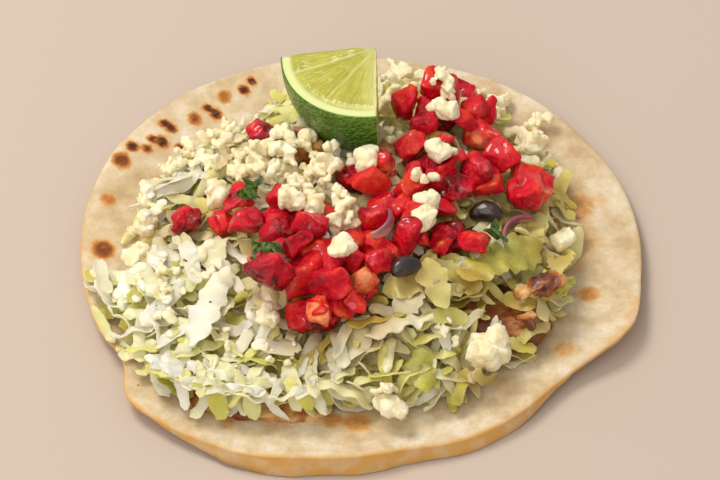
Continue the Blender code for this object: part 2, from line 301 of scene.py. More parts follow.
bearings = np.arctan2(points[:, 1], points[:, 0])
spokes = np.linspace(-math.pi, math.pi, 181)
rims = [np.hypot(*points[np.abs(bearings - spoke) < 0.03][:, :2].T).max() for spoke in spokes]
outs = np.hypot(points[:, 0], points[:, 1])
from_rim = np.interp(bearings, spokes, rims) - outs
degrees = np.degrees(bearings)
sag = eased((degrees - SAG_LEFT[0]) / (SAG_LEFT[1] - SAG_LEFT[0]))
sag *= eased((degrees - SAG_RIGHT[0]) / (SAG_RIGHT[1] - SAG_RIGHT[0]))
sag *= clipped(-normals[:, 2] / 0.4) * eased(1.0 - from_rim / SAG_REACH)
points[:, 2] -= (points[:, 2] - 0.0003) * sag
further = SAG_SPREAD * sag * (1.0 + 0.5 * uneven(points, 0.011, 6))
for bearing, spread, amount in EDGE_SHAPES:
    beside = np.exp(-(((degrees - bearing) / spread) ** 2))
    further += amount * beside * eased(1.0 - from_rim / 0.014)
points[:, :2] *= (1.0 + further / np.maximum(outs, 0.01))[:, None]
points[:, 2] = np.maximum(points[:, 2], 0.00005)
move_points(tortilla_mesh, points)
# Brown at the blisters, and painted shadow of the heap on the tortilla to its right.
store(tortilla_mesh, "toast", toast * faces_up)
# A golden-brown band on the side faces and along the rim, widest in front and at the right
# bulge: partly the baked edge's own colour, partly painted shade where the edge turns from the
# light; on the top surface it is painted shade standing in for the shaded side and its shadow
# below the rim.
towards_front = clipped(0.45 - np.sin(bearings + 0.25) * 0.8)
shaded_rim_right = np.exp(-(((bearings + 0.37) / 0.16) ** 2))
rim_width = 0.0005 + 0.0005 * towards_front + 0.0028 * shaded_rim_right
side = np.maximum(1.0 - clipped((normals[:, 2] - 0.25) / 0.5),
                  np.exp(-((from_rim / rim_width) ** 4)) * towards_front)
store(tortilla_mesh, "side", side)

dough = Finish("baked_dough", (0.12, (1.0, 0.6, 0.35), 0.0015), specular_ior_level=0.35)
flour = dough.grain(0.011, 4.0, 0.6)
mottle = dough.grain(0.0042, 3.0, 0.6)
speck = dough.grain(0.0012, 2.0)
bare = dough.ramp(flour * 0.65 + mottle * 0.35, [
    (0.36, 194, 166, 126), (0.50, 214, 193, 159), (0.64, 231, 218, 196),
])
ragged = dough.painted("toast") + (dough.grain(0.0016, 3.0) - 0.5) * 0.34 * (
    dough.painted("toast").between(0.02, 0.25)
)
toasted = dough.ramp(ragged, [
    (0.06, 222, 190, 145), (0.24, 208, 158, 97), (0.42, 183, 112, 48),
    (0.62, 134, 68, 22), (0.86, 74, 34, 14),
])
browned = dough.mix(ragged.between(0.05, 0.26), bare, toasted)
# The golden-brown edge: baked crust, with painted shade where it turns from the light.
side = dough.painted("side") * (0.55 + 0.45 * dough.grain(0.006).between(0.35, 0.6))
crust_and_shade = dough.mix(side, browned, paint(216, 164, 88))
dough.set(
    colour=dough.mix(speck.between(0.52, 0.75) * 0.25, crust_and_shade, paint(192, 160, 118)),
    roughness=0.62 + 0.2 * mottle,
    relief=(mottle * 0.7 + speck * 0.5 + ragged * 0.4, 0.00022),
)
serve("tortilla_baked", tortilla_mesh, dough, "flour_tortilla", "tortilla")


# ---------------------------------------------------------------- fried fish
# Two strips of white fish in batter, and a flake that broke off. The batter fries to a hard
# golden crust, knobbly and cracked, and darkest where it stands out.

CRUST_KNOB, CRUST_KNOB_SIZE = 0.0010, 0.0042
CRUST_GRIT, CRUST_GRIT_SIZE = 0.00045, 0.0019
TAIL_START, TAIL_MIDDLE = 0.0430, -0.0245  # where the long strip narrows to its thin end

batter = Finish("fried_batter", (0.08, (1.0, 0.4, 0.15), 0.001),
                coat_roughness=0.22, specular_ior_level=0.55)
crust = batter.grain(0.0060, 4.0, 0.62)
grit = batter.grain(0.0014, 3.0, 0.6)
high = batter.painted("stands_out")
fried = batter.ramp(crust * 0.5 + high * 0.28 + grit * 0.22, [
    (0.30, 222, 178, 112), (0.43, 186, 120, 54), (0.55, 136, 66, 24),
    (0.72, 88, 38, 14),
])
batter.set(
    colour=fried,
    roughness=0.30 + 0.35 * grit,
    coat=crust.between(0.45, 0.7) * 0.6,
    relief=(grit + batter.grain(0.0005) * 0.4, 0.0003),
)


def fried_crust(node, seed):
    """A CAD solid of fish with its batter's knobs and grit raised from it."""
    mesh = refined(node, 2)
    points = points_of(mesh)
    knobs = uneven(points, CRUST_KNOB_SIZE, seed)
    grit = uneven(points, CRUST_GRIT_SIZE, seed + 9)
    rise = CRUST_KNOB * (np.abs(knobs) * 1.6 - 0.35) + CRUST_GRIT * grit
    points = points + normals_of(mesh) * rise[:, None]
    if node == "fish_strip_1":
        beyond = np.maximum(points[:, 0] - TAIL_START, 0.0)
        thinner = eased(beyond / 0.010)
        points[:, 0] -= 0.45 * beyond
        points[:, 1] += (TAIL_MIDDLE - points[:, 1]) * 0.35 * thinner
        points[:, 2] -= (points[:, 2] - 0.0030) * 0.35 * thinner
    if node == "fish_strip_2":
        for axis, less in ((0, 0.15), (2, 0.36)):  # a little shorter, and pressed flat
            points[:, axis] -= less * (points[:, axis] - points[:, axis].min())
    move_points(mesh, points)
    browned = 0.1 if node == "fish_strip_2" else 0.5
    store(mesh, "stands_out", np.clip(browned + knobs, -0.4, 1.0))
    return mesh


for turn, node in enumerate(("fish_strip_1", "fish_strip_2", "fish_flake")):
    serve(node + "_battered", fried_crust(node, turn + 1), batter, "fried_fish", node)
fish_meshes = [bpy.data.objects[name + "_battered"].data for name in (
    "fish_strip_1", "fish_strip_2")]


# ---------------------------------------------------------------- lettuce
# A heap of iceberg lettuce cut in fine shreds, white at the ribs and yellow-green at the
# leaf. The middle is packed close; loose shreds lie over it and out across the tortilla.

CELL = 0.0005
REACH = 0.078
TOPPINGS = sorted(
    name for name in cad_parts
    if name.split("_")[0] in ("tomato", "black", "red", "cheese", "lime", "fish")
    and not name.startswith("fish_strip")
)


def tree_of(meshes):
    """The faces of several meshes, ready for finding where a line meets them."""
    points, faces = [], []
    for mesh in meshes:
        first = len(points)
        points += [vert.co.copy() for vert in mesh.vertices]
        faces += [[first + i for i in face.vertices] for face in mesh.polygons]
    return BVHTree.FromPolygons(points, faces)


class Ground:
    """Heights over the plate on a fine square grid, from faces seen from above or below."""

    def __init__(self, meshes, missing, from_below=False):
        self.count = int(2 * REACH / CELL) + 1
        self.heights = np.full((self.count, self.count), missing)
        tree = tree_of(meshes)
        start, down = (-0.01, 1.0) if from_below else (0.09, -1.0)
        for i in range(self.count):
            for j in range(self.count):
                spot = Vector((i * CELL - REACH, j * CELL - REACH, start))
                hit = tree.ray_cast(spot, Vector((0.0, 0.0, down)))[0]
                if hit is not None:
                    self.heights[i, j] = hit.z

    def cells(self, xy):
        """The grid cell that each place is in."""
        cell = np.rint((np.asarray(xy) + REACH) / CELL).astype(int)
        return tuple(np.clip(cell, 0, self.count - 1).T)

    def at(self, xy):
        return self.heights[self.cells(xy)]

    def widest(self, xy, radius, pick=np.max):
        """The highest point, or the lowest with pick=np.min, round each place."""
        ring = [np.asarray(xy)]
        for part in (0.5, 1.0):
            for step in range(8):
                turn = math.tau * step / 8
                away = np.array([math.cos(turn), math.sin(turn)]) * radius * part
                ring.append(np.asarray(xy) + away)
        return pick([self.at(place) for place in ring], axis=0)

    def cover(self, points):
        """Raises the ground to the points that now lie on it."""
        np.maximum.at(self.heights, self.cells(points[:, :2]), points[:, 2])


CORE_SINK = 0.0029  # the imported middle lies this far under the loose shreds
CORE_LUMP, CORE_LUMP_SIZE = 0.0010, 0.0036
CORE_RINGS, CORE_SPOKES = 70, 190
CORE_MIDDLE = Vector((-0.0042, -0.0016))
CORE_FRONT = -0.0490  # in front of this the shreds lie on the tortilla itself

# Where the tortilla stays bare inside the heap's outline: place and radius.
BARE_PATCHES = metres((
    (-68, 1.1, 6.2), (-59, -7.5, 6), (-42, 36, 6.2), (-50, 31, 6.8), (-58, 26, 6.8),
    (-65, 17, 6.8), (-67, 9, 6), (-66, -6, 4.6),
), 3)


def bare(x, y, spare=0.0):
    """Whether the tortilla shows bare there, or nearly."""
    return any(math.hypot(x - px, y - py) < radius + spare for px, py, radius in BARE_PATCHES)


heap_ground = Ground([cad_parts["lettuce_heap"].data], -1.0)
plate_ground = Ground([tortilla_mesh], -1.0)


def heap_edge(angle):
    """How far out the heap reaches from its middle in that direction."""
    step = 0.0005
    reach = 0.02
    while reach < 0.09:
        place = CORE_MIDDLE + Vector((math.cos(angle), math.sin(angle))) * (reach + step)
        if heap_ground.at([place])[0] < 0.0:
            break
        reach += step
    return reach


shape = bmesh.new()
tops, lows = [], []
for ring in range(CORE_RINGS):
    share = ((ring + 1) / CORE_RINGS) ** 0.8
    tops.append([])
    lows.append([])
    for spoke in range(CORE_SPOKES):
        angle = math.tau * spoke / CORE_SPOKES
        place = CORE_MIDDLE + Vector((math.cos(angle), math.sin(angle))) * (
            heap_edge(angle) - 0.0045) * share
        floor = max(plate_ground.at([place])[0], 0.0024) + 0.0004
        height = max(heap_ground.at([place])[0], floor) - CORE_SINK
        height += CORE_LUMP * noise.noise(Vector((*place, 0.0)) / CORE_LUMP_SIZE)
        top = max(height, floor + 0.0006 * (1 - share))
        if bare(*place, 0.0050) or place.y < CORE_FRONT:
            top = floor - 0.0008
        tops[-1].append(shape.verts.new((*place, top)))
        lows[-1].append(shape.verts.new((*place, min(floor - 0.0001, top - 0.0002))))
top_middle = shape.verts.new((*CORE_MIDDLE, heap_ground.at([CORE_MIDDLE])[0] - CORE_SINK))
low_middle = shape.verts.new((*CORE_MIDDLE, 0.0028))
for spoke in range(CORE_SPOKES):
    after = (spoke + 1) % CORE_SPOKES
    shape.faces.new((top_middle, tops[0][spoke], tops[0][after]))
    shape.faces.new((low_middle, lows[0][after], lows[0][spoke]))
    for near, far in zip(tops, tops[1:]):
        shape.faces.new((near[spoke], far[spoke], far[after], near[after]))
    for near, far in zip(lows, lows[1:]):
        shape.faces.new((near[after], far[after], far[spoke], near[spoke]))
    shape.faces.new((tops[-1][spoke], lows[-1][spoke], lows[-1][after], tops[-1][after]))
core_mesh = meshed(shape, "lettuce_core")

lettuce = Finish("lettuce_shreds", (0.50, (1.0, 0.95, 0.5), 0.004),
                 specular_ior_level=0.45, coat_roughness=0.2)
tint = lettuce.painted("tint")
veins = lettuce.grain(0.0022, 3.0, 0.6)
patches = lettuce.grain(0.009, 2.0)
leafy = lettuce.ramp(tint + (veins - 0.5) * 0.30 + (patches - 0.5) * 0.25, [
    (0.04, 248, 244, 216), (0.28, 245, 241, 190), (0.50, 236, 230, 144),
    (0.74, 212, 205, 88), (0.98, 152, 150, 62),
])
lettuce.set(
    # Golden-brown where juice soaked in, and painted shade on the heap's right and front.
    colour=lettuce.mix(lettuce.painted("juice") * 0.72, leafy, paint(176, 134, 58)),
    roughness=0.34 + 0.25 * veins,
    coat=0.25 * patches.between(0.4, 0.6),
    relief=(veins + lettuce.grain(0.0007) * 0.35, 0.00022),
)
# The hidden middle is a darker olive-yellow than the shreds: painted shade for the deep gaps
# between them.
packed = Finish("lettuce_packed", (0.2, (1.0, 1.0, 0.45), 0.002))
shreds_below = packed.grain(0.0036, 3.0, 0.65)
packed.set(
    colour=packed.ramp(shreds_below, [
        (0.34, 222, 198, 92), (0.50, 240, 226, 146), (0.66, 252, 242, 198),
    ]),
    roughness=0.45 + 0.2 * shreds_below,
    relief=(shreds_below, 0.0008),
)
serve("lettuce_core", core_mesh, packed, "lettuce", "lettuce_heap")

ground = Ground([tortilla_mesh, core_mesh] + fish_meshes, 0.0)
ceiling = Ground([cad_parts[name].data for name in TOPPINGS], 1.0, from_below=True)
HEAP_LOOSE, SPILL_TOP = 0.0052, 0.0150  # how high shreds lie over the heap, and beside it
FISH_COVER = 0.0040
free_top = np.where(heap_ground.heights > 0.0, heap_ground.heights + HEAP_LOOSE, SPILL_TOP)
free_top = np.maximum(free_top, Ground(fish_meshes, 0.0).heights + FISH_COVER)

HEAP_SKIRT = 0.0025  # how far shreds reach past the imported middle
FARTHEST = 0.0720  # no shred lies further out on the tortilla
FRONT_RIGHT, FRONT_LEFT, FRONT_TURN = -0.0550, -0.0592, -0.008  # the front edge stays bare
FISH_GAP = (0.0388, -0.0300, 0.0034)  # fish shows through here: place and radius
# Where lettuce spilled further: place and radius.
SPILLS = metres((
    (-65, -11, 7), (-62.5, -24, 8), (-58, -37, 8), (-48, -45, 7), (-40, -50, 7),
    (-30, -52, 6.5), (-20, -52, 6.5), (-10, -52, 6.5), (0, -53, 6), (9, -55, 6),
    (19, -51, 5.5), (29, -45, 5.5), (39, -34, 6), (43, -25, 7.5), (49, -17, 6.2),
    (-41, -55.5, 4), (-33, -57.5, 4), (-24, -58, 4.2), (-15, -57.5, 4.2), (-6, -56, 4),
), 3)
grid = np.arange(ground.count) * CELL - REACH
east, north = np.meshgrid(grid, grid, indexing="ij")
bearing = np.arctan2(north - CORE_MIDDLE.y, east - CORE_MIDDLE.x)
heap_reaches = [heap_edge(math.tau * step / 72) for step in range(73)]
edge_there = np.interp(bearing % math.tau, np.linspace(0, math.tau, 73), heap_reaches)
allowed = np.hypot(east - CORE_MIDDLE.x, north - CORE_MIDDLE.y) < edge_there + HEAP_SKIRT
for x, y, radius in SPILLS:
    allowed |= np.hypot(east - x, north - y) < radius
allowed &= np.hypot(east, north) < FARTHEST
for x, y, radius in BARE_PATCHES + [FISH_GAP]:
    allowed &= np.hypot(east - x, north - y) > radius
allowed &= north > np.where(east > FRONT_TURN, FRONT_RIGHT, FRONT_LEFT)
tomato_places = [sum(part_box(name), Vector()) / 2 for name in TOPPINGS if "tomato" in name]
JUICE_REACH = 0.0090  # how far round a piece of tomato its juice soaked in
# Where juice and frying oil soaked in besides round the tomato, and where the right and front
# of the heap get painted shade: place and radius.
SOAKED_AND_SHADED = metres((
    (30, -46, 8), (42, -28, 10), (13, -26, 11), (50.5, -10, 8), (50, 15, 11), (28, -25, 7),
    (41, 0, 8), (3, -38, 10),
), 3)


def strip(path, half_widths, thickness, tilts, cup, ruffle, across):
    """A closed strip of leaf that follows a path: its points, ring by ring."""
    along = np.gradient(path, axis=0)
    along /= np.linalg.norm(along, axis=1)[:, None]
    flat = np.cross(along, [0.0, 0.0, 1.0])
    flat /= np.linalg.norm(flat, axis=1)[:, None]
    above = np.cross(flat, along)
    aside = flat * np.cos(tilts)[:, None] + above * np.sin(tilts)[:, None]
    upward = above * np.cos(tilts)[:, None] - flat * np.sin(tilts)[:, None]
    over = np.linspace(-1.0, 1.0, across)
    ring = [(u, 1.0) for u in over] + [(u, -1.0) for u in over[::-1]]
    rows = []
    for u, face in ring:
        lift = face * thickness / 2 * (1.0 - 0.5 * u * u) + cup * (u * u - 0.4)
        rows.append(
            path + aside * (half_widths * u)[:, None] + upward * (lift + ruffle * u)[:, None]
        )
    return np.stack(rows, axis=1)


class Bits:
    """Small pieces of one food, gathered into one mesh."""

    def __init__(self):
        self.points, self.faces, self.tints, self.total = [], [], [], 0

    def add(self, points, faces, tint=0.5):
        self.faces += [[self.total + i for i in face] for face in faces]
        self.points.append(np.asarray(points))
        self.tints.append(np.broadcast_to(tint, len(points)))
        self.total += len(points)

    def mesh(self, name):
        made = bpy.data.meshes.new(name)
        made.from_pydata([tuple(p) for p in np.concatenate(self.points)], [], self.faces)
        made.update()
        store(made, "tint", np.concatenate(self.tints))
        return made


class Cut(Bits):
    """Strips of leaf of one sort, gathered as they fall on the heap."""

    def add_strip(self, rows, tints):
        length, count, _ = rows.shape
        faces = []
        for here in range(0, (length - 1) * count, count):
            for side in range(count):
                after = (side + 1) % count
                faces.append([here + i for i in (side, count + side, count + after, after)])
        last = (length - 1) * count
        faces += [range(count), range(last + count - 1, last - 1, -1)]
        self.add(rows.reshape(-1, 3), faces, np.repeat(tints, count))

    def serve(self, name, finish, slot):
        made = self.mesh(name)
        points = np.concatenate(self.points)
        soaked_and_shaded = [(place.x, place.y, JUICE_REACH) for place in tomato_places] + SOAKED_AND_SHADED
        near = np.min([np.hypot(points[:, 0] - x, points[:, 1] - y) / radius
                       for x, y, radius in soaked_and_shaded], axis=0)
        store(made, "juice", np.exp(-(near ** 2)))
        piece = serve(name, made, finish, slot)
        made.set_sharp_from_angle(angle=math.radians(48))
        return piece


STEP = 0.0009  # between the points of a shred's path
SHORTEST = 11  # steps of a shred that has no room for its whole length


def wander(chance, x, y, heading, length, bend, wobble):
    """A curving path with its middle near a place; bend is its turn in radians a metre."""
    x -= math.cos(heading) * length / 2
    y -= math.sin(heading) * length / 2
    heading -= bend * length / 2
    path = [(x, y)]
    phase = chance.uniform(0.0, math.tau)
    for step in range(max(5, int(length / STEP))):
        heading += STEP * (bend + wobble * math.sin(phase + step * STEP / 0.0045))
        x += STEP * math.cos(heading)
        y += STEP * math.sin(heading)
        path.append((x, y))
    return np.array(path)


def either_side(height):
    """The heights before and after each one along a path."""
    return np.append(height[0], height[:-1]), np.append(height[1:], height[-1])


def come_to_rest(path, half_width, thickness, tilt, lift_ends, chance):
    """The stretch of a path that has room, and its heights on the ground below."""
    low = (ground.widest(path, half_width * 0.7) + ground.at(path)) / 2 + thickness * 0.5
    low += half_width * abs(math.sin(tilt)) * 0.6
    under = ground.cells(path)
    roof = np.minimum(ceiling.widest(path, half_width * 0.9, np.min), free_top[under])
    room = (roof - low - thickness * 0.5 > -0.0014) & allowed[under]
    best, start = (0, 0), None
    for step, free in enumerate(list(room) + [False]):
        if free and start is None:
            start = step
        elif not free and start is not None:
            if step - start > best[1] - best[0]:
                best = (start, step)
            start = None
    if best[1] - best[0] < min(SHORTEST, len(path) - 1):
        return None, None
    path, low, roof = (item[best[0]:best[1]] for item in (path, low, roof))
    height = low.copy()
    for _ in range(6):
        before, after = either_side(height)
        height = np.maximum(low, (before + after) / 2)
    share = np.linspace(-1.0, 1.0, len(height))
    start_lift, end_lift = (chance.uniform(0.0, lift_ends) for _ in range(2))
    height += np.where(share < 0, start_lift, end_lift) * np.abs(share) ** 3
    height = np.minimum(height, roof - thickness * 0.5)
    for _ in range(2):
        before, after = either_side(height)
        height = (before + 2 * height + after) / 4
    return path, height


def away_from(place, angle, away):
    """The place at that distance from another one, in that direction."""
    return place[0] + away * math.cos(angle), place[1] + away * math.sin(angle)


def on_heap(chance, spread=1.0):
    """A random place on the heap, as likely near its edge as in its middle."""
    angle = chance.uniform(0.0, math.tau)
    away = heap_reaches[int(angle / math.tau * 72)] * math.sqrt(chance.random()) * spread
    return away_from(CORE_MIDDLE, angle, away)


def shred(cut, chance, place, length, width, thickness, colour, heading=None, curl=1.0,
          lift=0.0020, lean=0.4, across=4, crinkle=0.0004, ruffle=0.0003, jagged=0.15, blunt=9):
    """One piece of lettuce, dropped with its middle at that place."""
    heading = chance.uniform(0.0, math.tau) if heading is None else heading
    path = wander(chance, *place, heading, length, chance.gauss(0.0, 32.0) * curl, 26.0 * curl)
    tilt = chance.gauss(0.0, lean)
    flat, height = come_to_rest(path, width / 2, thickness, tilt, lift, chance)
    if flat is None:
        return
    share = np.linspace(-1.0, 1.0, len(flat))
    run = np.arange(len(flat)) * STEP
    halves = width / 2 * (1.0 - 0.8 * np.abs(share) ** blunt)
    halves *= 1.0 + 0.10 * np.sin(run / 0.0034 + chance.uniform(0, 6))
    halves *= 1.0 + jagged * np.array([chance.uniform(-1, 1) for _ in share])
    height = height + crinkle * (1.0 + np.sin(run / 0.0010 + chance.uniform(0, 6)))
    tilts = tilt + chance.gauss(0.0, 0.35) * share
    waves = ruffle * np.sin(run / 0.0008 + chance.uniform(0, 6))
    cup = chance.uniform(-0.4, 0.8) * width * 0.20
    rows = strip(
        np.column_stack([flat, height]), halves, thickness, tilts, cup, waves, across)
    floor = plate_ground.at(rows.reshape(-1, 3)[:, :2]).reshape(rows.shape[:2])
    rows[:, :, 2] = np.maximum(rows[:, :, 2], floor + 0.0002)
    colour = colour + chance.uniform(-0.15, 0.15) * share + chance.gauss(0.0, 0.05)
    cut.add_strip(rows, colour)
    for u in np.linspace(0.0, 1.0, max(4, across)):
        edge = rows[:, 0] * (1 - u) + rows[:, across - 1] * u
        ground.cover(edge)
        ground.cover((edge[1:] + edge[:-1]) / 2)


def leafiness(chance, mean, spread):
    """How green a piece is: 0 at the rib, 1 at the leaf's edge."""
    return min(1.0, max(0.0, chance.gauss(mean, spread)))


def greener_and_shaded(place):
    """More leaf than rib towards the right of the heap, and less on the left; the darker leaf
    there is partly painted shade.
    """
    return 0.30 * min(1.0, max(0.0, (place[0] + 0.005) / 0.02))


def scatter(cut, count, spans, green, spread=1.0, greening_and_shade=0.0, **cutting):
    """Drops pieces on the heap. spans holds the ranges of their length, width and thickness."""
    for _ in range(count):
        place = on_heap(chance, spread)
        size = [low if low == high else chance.uniform(low, high) for low, high in spans]
        mean = green[0] + greening_and_shade * greener_and_shaded(place)
        shred(cut, chance, place, *size, leafiness(chance, mean, green[1]), **cutting)


chance = random.Random(21)
fine_shreds, cut_pieces, ribs = Cut(), Cut(), Cut()
scatter(fine_shreds, 240, ((0.012, 0.028), (0.0016, 0.0028), (0.0004, 0.0007)), (0.48, 0.22))
scatter(cut_pieces, 130, ((0.009, 0.018), (0.0024, 0.0042), (0.0004, 0.0008)), (0.32, 0.20),
        1.02, curl=1.2, across=5, lean=0.45, blunt=8)
scatter(cut_pieces, 50, ((0.009, 0.016), (0.0055, 0.0080), (0.0004, 0.0004)), (0.55, 0.18),
        curl=0.8, across=7, lean=0.35, ruffle=0.0007, crinkle=0.0005, blunt=3.5, jagged=0.2)
scatter(ribs, 60, ((0.008, 0.015), (0.0022, 0.0034), (0.0009, 0.0014)), (0.06, 0.08),
        1.03, lean=0.6, crinkle=0.0002, ruffle=0.0001, blunt=14, jagged=0.08)
for x, y, radius in SPILLS:
    for _ in range(22):
        angle, away = chance.uniform(0.0, math.tau), radius * math.sqrt(chance.random())
        place = away_from((x, y), angle, away)
        shred(chance.choice((fine_shreds, cut_pieces)), chance, place,
              chance.uniform(0.011, 0.020), chance.uniform(0.0020, 0.0044), 0.0005,
              leafiness(chance, 0.34 + greener_and_shaded(place), 0.24), across=5)
scatter(fine_shreds, 250, ((0.016, 0.030), (0.0022, 0.0042), (0.0004, 0.0008)), (0.22, 0.20),
        greening_and_shade=1.0, curl=0.8, lift=0.0030, blunt=16, jagged=0.08)
scatter(cut_pieces, 60, ((0.014, 0.024), (0.0046, 0.0068), (0.0004, 0.0007)), (0.16, 0.16),
        greening_and_shade=1.0, curl=0.5, lift=0.0026, lean=0.25, across=8, ruffle=0.0006,
        crinkle=0.0004, blunt=12, jagged=0.10)

# Pieces that show whole on top: the two ends, width, thickness, leafiness and kind of edge.
SHOWN_PIECES = (
    (-33.5, -21.5, -42.5, -43, 7.8, 0.8, 0.06, "leaf"),
    (-34.5, 20, -39.5, 6, 6, 0.8, 0.03, "leaf"),
    (-38.5, 6, -46, -5, 3.4, 0.7, 0.04, "strip"),
    (-51.5, 1, -53, -19, 5.4, 0.7, 0.08, "leaf"),
    (-59, -15, -49, -28, 7.6, 0.6, 0.3, "leaf"), (-60, 19, -48, 21, 6.6, 0.5, 0.34, "leaf"),
    (-7.5, -38, -3.5, -50, 3.2, 0.7, 0.12, "strip"),
    (-3, -38.5, -7, -49, 2.6, 0.6, 0.25, "strip"),
    (-45, -10, -42, -26, 4, 0.7, 0.1, "strip"), (2, -31, 20, -25, 8.5, 0.6, 0.46, "leaf"),
    (4, -25, 18, -21.5, 8, 0.6, 0.4, "leaf"), (33, -13, 47, -1, 6.2, 0.6, 0.6, "leaf"),
    (27, -7, 35, -19, 7.5, 0.6, 1.0, "leaf"), (25, -25, 46, -8, 10, 0.6, 0.86, "leaf"),
    (53, -3.5, 49.5, -17, 6.2, 0.6, 0.52, "leaf"), (16, -22, 21, -35, 7, 0.6, 0.5, "leaf"),
    (22, -45.5, 33, -40, 5, 0.6, 0.7, "leaf"), (25, -48, 40, -43, 3, 0.5, 0.62, "strip"),
    (1, -42.5, 18.5, -37.5, 6.2, 0.9, 0.1, "leaf"),
    (13, -33, 21, -44, 3.6, 0.6, 0.55, "strip"), (-33, -33, -24, -39, 8, 0.6, 0.8, "leaf"),
    (-40.4, 7.7, -46.7, -12.3, 4.4, 0.7, 0.08, "strip"),
    (-15, -45, -28, -43, 4, 0.8, 0.08, "strip"), (25, -40, 33, -29, 4, 1, 0.06, "strip"),
)
LEAF = {"across": 9, "ruffle": 0.0007, "jagged": 0.16, "blunt": 4}
STRIP = {"across": 5, "ruffle": 0.0002, "jagged": 0.05, "blunt": 16}


def shred_between(cut, ends, width, thickness, green, **cutting):
    """A piece of lettuce from one place to another."""
    x, y, far_x, far_y = ends
    heading, length = math.atan2(far_y - y, far_x - x), math.hypot(far_x - x, far_y - y)
    shred(cut, chance, ((x + far_x) / 2, (y + far_y) / 2), length, width, thickness,
          green, heading, crinkle=0.0003, **cutting)


free_top += 0.0032  # they may lie on the pieces below
for *ends, width, thickness, green, edge in metres(SHOWN_PIECES, 6):
    shred_between(cut_pieces, ends, width, thickness, green, curl=0.25, lean=0.12,
                  **(LEAF if edge == "leaf" else STRIP))

fine_shreds.serve("lettuce_fine_shreds", lettuce, "lettuce")
cut_pieces.serve("lettuce_cut_pieces", lettuce, "lettuce")
ribs.serve("lettuce_ribs", lettuce, "lettuce")


# ---------------------------------------------------------------- lime
# A wedge of fresh lime, an eighth of the fruit: glossy green rind, a white pith, and flesh
# in segments of long juice sacs between thin skins. It lies cut side up.

LIME_ACROSS, LIME_DOWN = 60, 84
SEGMENT = math.radians(36)
FIRST_SKIN = math.radians(197)

cad_points = points_of(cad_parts["lime_wedge"].data)
corner, left_tip, front_tip, low_tip = (Vector(cad_points[pick]) for pick in (
    np.argmax(cad_points @ [1.0, 1.0, 1.0]), np.argmin(cad_points[:, 0]),
    np.argmin(cad_points[:, 1]), np.argmin(cad_points[:, 2])))
lime_axes = Matrix((corner - left_tip, corner - front_tip, corner - low_tip)).transposed()


def lime_point(x, y, z):
    """A place in the fruit, in shares of its half widths, as a place on the plate."""
    return corner + lime_axes @ Vector((x, y, z))


shape = bmesh.new()
layer = shape.verts.layers.float_vector.new("fruit")


def lime_face(place, columns, rows, swap):
    """One face of the wedge: a grid of points from a function of two shares."""
    grid = []
    for row in range(rows + 1):
        grid.append([])
        for column in range(columns + 1):
            inside = place(column / columns, row / rows)
            vert = shape.verts.new(lime_point(*inside))
            vert[layer] = inside
            grid[-1].append(vert)
    for row in range(rows):
        for column in range(columns):
            corners = [grid[row][column], grid[row][column + 1],
                       grid[row + 1][column + 1], grid[row + 1][column]]
            shape.faces.new(reversed(corners) if swap else corners)


def out_from_core(share):
    """Rings that lie closer together towards the rind."""
    return share ** 0.9


def cut_top(u, v):
    angle, away = math.pi * (1.0 + u / 2), out_from_core(v)
    return Vector((away * math.cos(angle), away * math.sin(angle), 0.0))


def cut_left(u, v):
    angle, away = math.pi / 2 * u, out_from_core(v)
    return Vector((-away * math.cos(angle), 0.0, -away * math.sin(angle)))


def cut_right(u, v):
    return cut_left(u, v).yxz


def rind(u, v):
    angle, down = math.pi * (1.0 + u / 2), math.pi / 2 * v
    return Vector((
        math.cos(angle) * math.cos(down), math.sin(angle) * math.cos(down), -math.sin(down)))


lime_face(cut_top, LIME_ACROSS, LIME_DOWN, False)
lime_face(cut_left, LIME_ACROSS, LIME_DOWN, False)
lime_face(cut_right, LIME_ACROSS, LIME_DOWN, True)
lime_face(rind, LIME_ACROSS, LIME_ACROSS, True)
bmesh.ops.remove_doubles(shape, verts=shape.verts, dist=1e-6)
bmesh.ops.recalc_face_normals(shape, faces=shape.faces)
lime_mesh = meshed(shape, "lime_wedge_cut")

points = points_of(lime_mesh)
normals = normals_of(lime_mesh)
fruit = np.empty(len(points) * 3)
lime_mesh.attributes["fruit"].data.foreach_get("vector", fruit)
fruit = fruit.reshape(-1, 3)
out = np.linalg.norm(fruit, axis=1)
turn = np.arctan2(fruit[:, 1], fruit[:, 0]) % math.tau
from_skin = np.abs((turn - FIRST_SKIN + SEGMENT / 2) % SEGMENT - SEGMENT / 2) * out
flesh = clipped((0.88 - out) / 0.05) * clipped(out / 0.12)
on_top = clipped(1.0 - np.abs(fruit[:, 2]) / 0.02)
swell = 0.00035 * clipped(from_skin / 0.06) * on_top
swell = (swell + 0.00022 * uneven(fruit * 3.0, 0.34, 5)) * flesh
pores = clipped((out - 0.999) / 0.001) * -0.00012 * clipped(
    uneven(points, 0.0016, 3) - 0.1)
move_points(lime_mesh, points + normals * (swell + pores)[:, None])

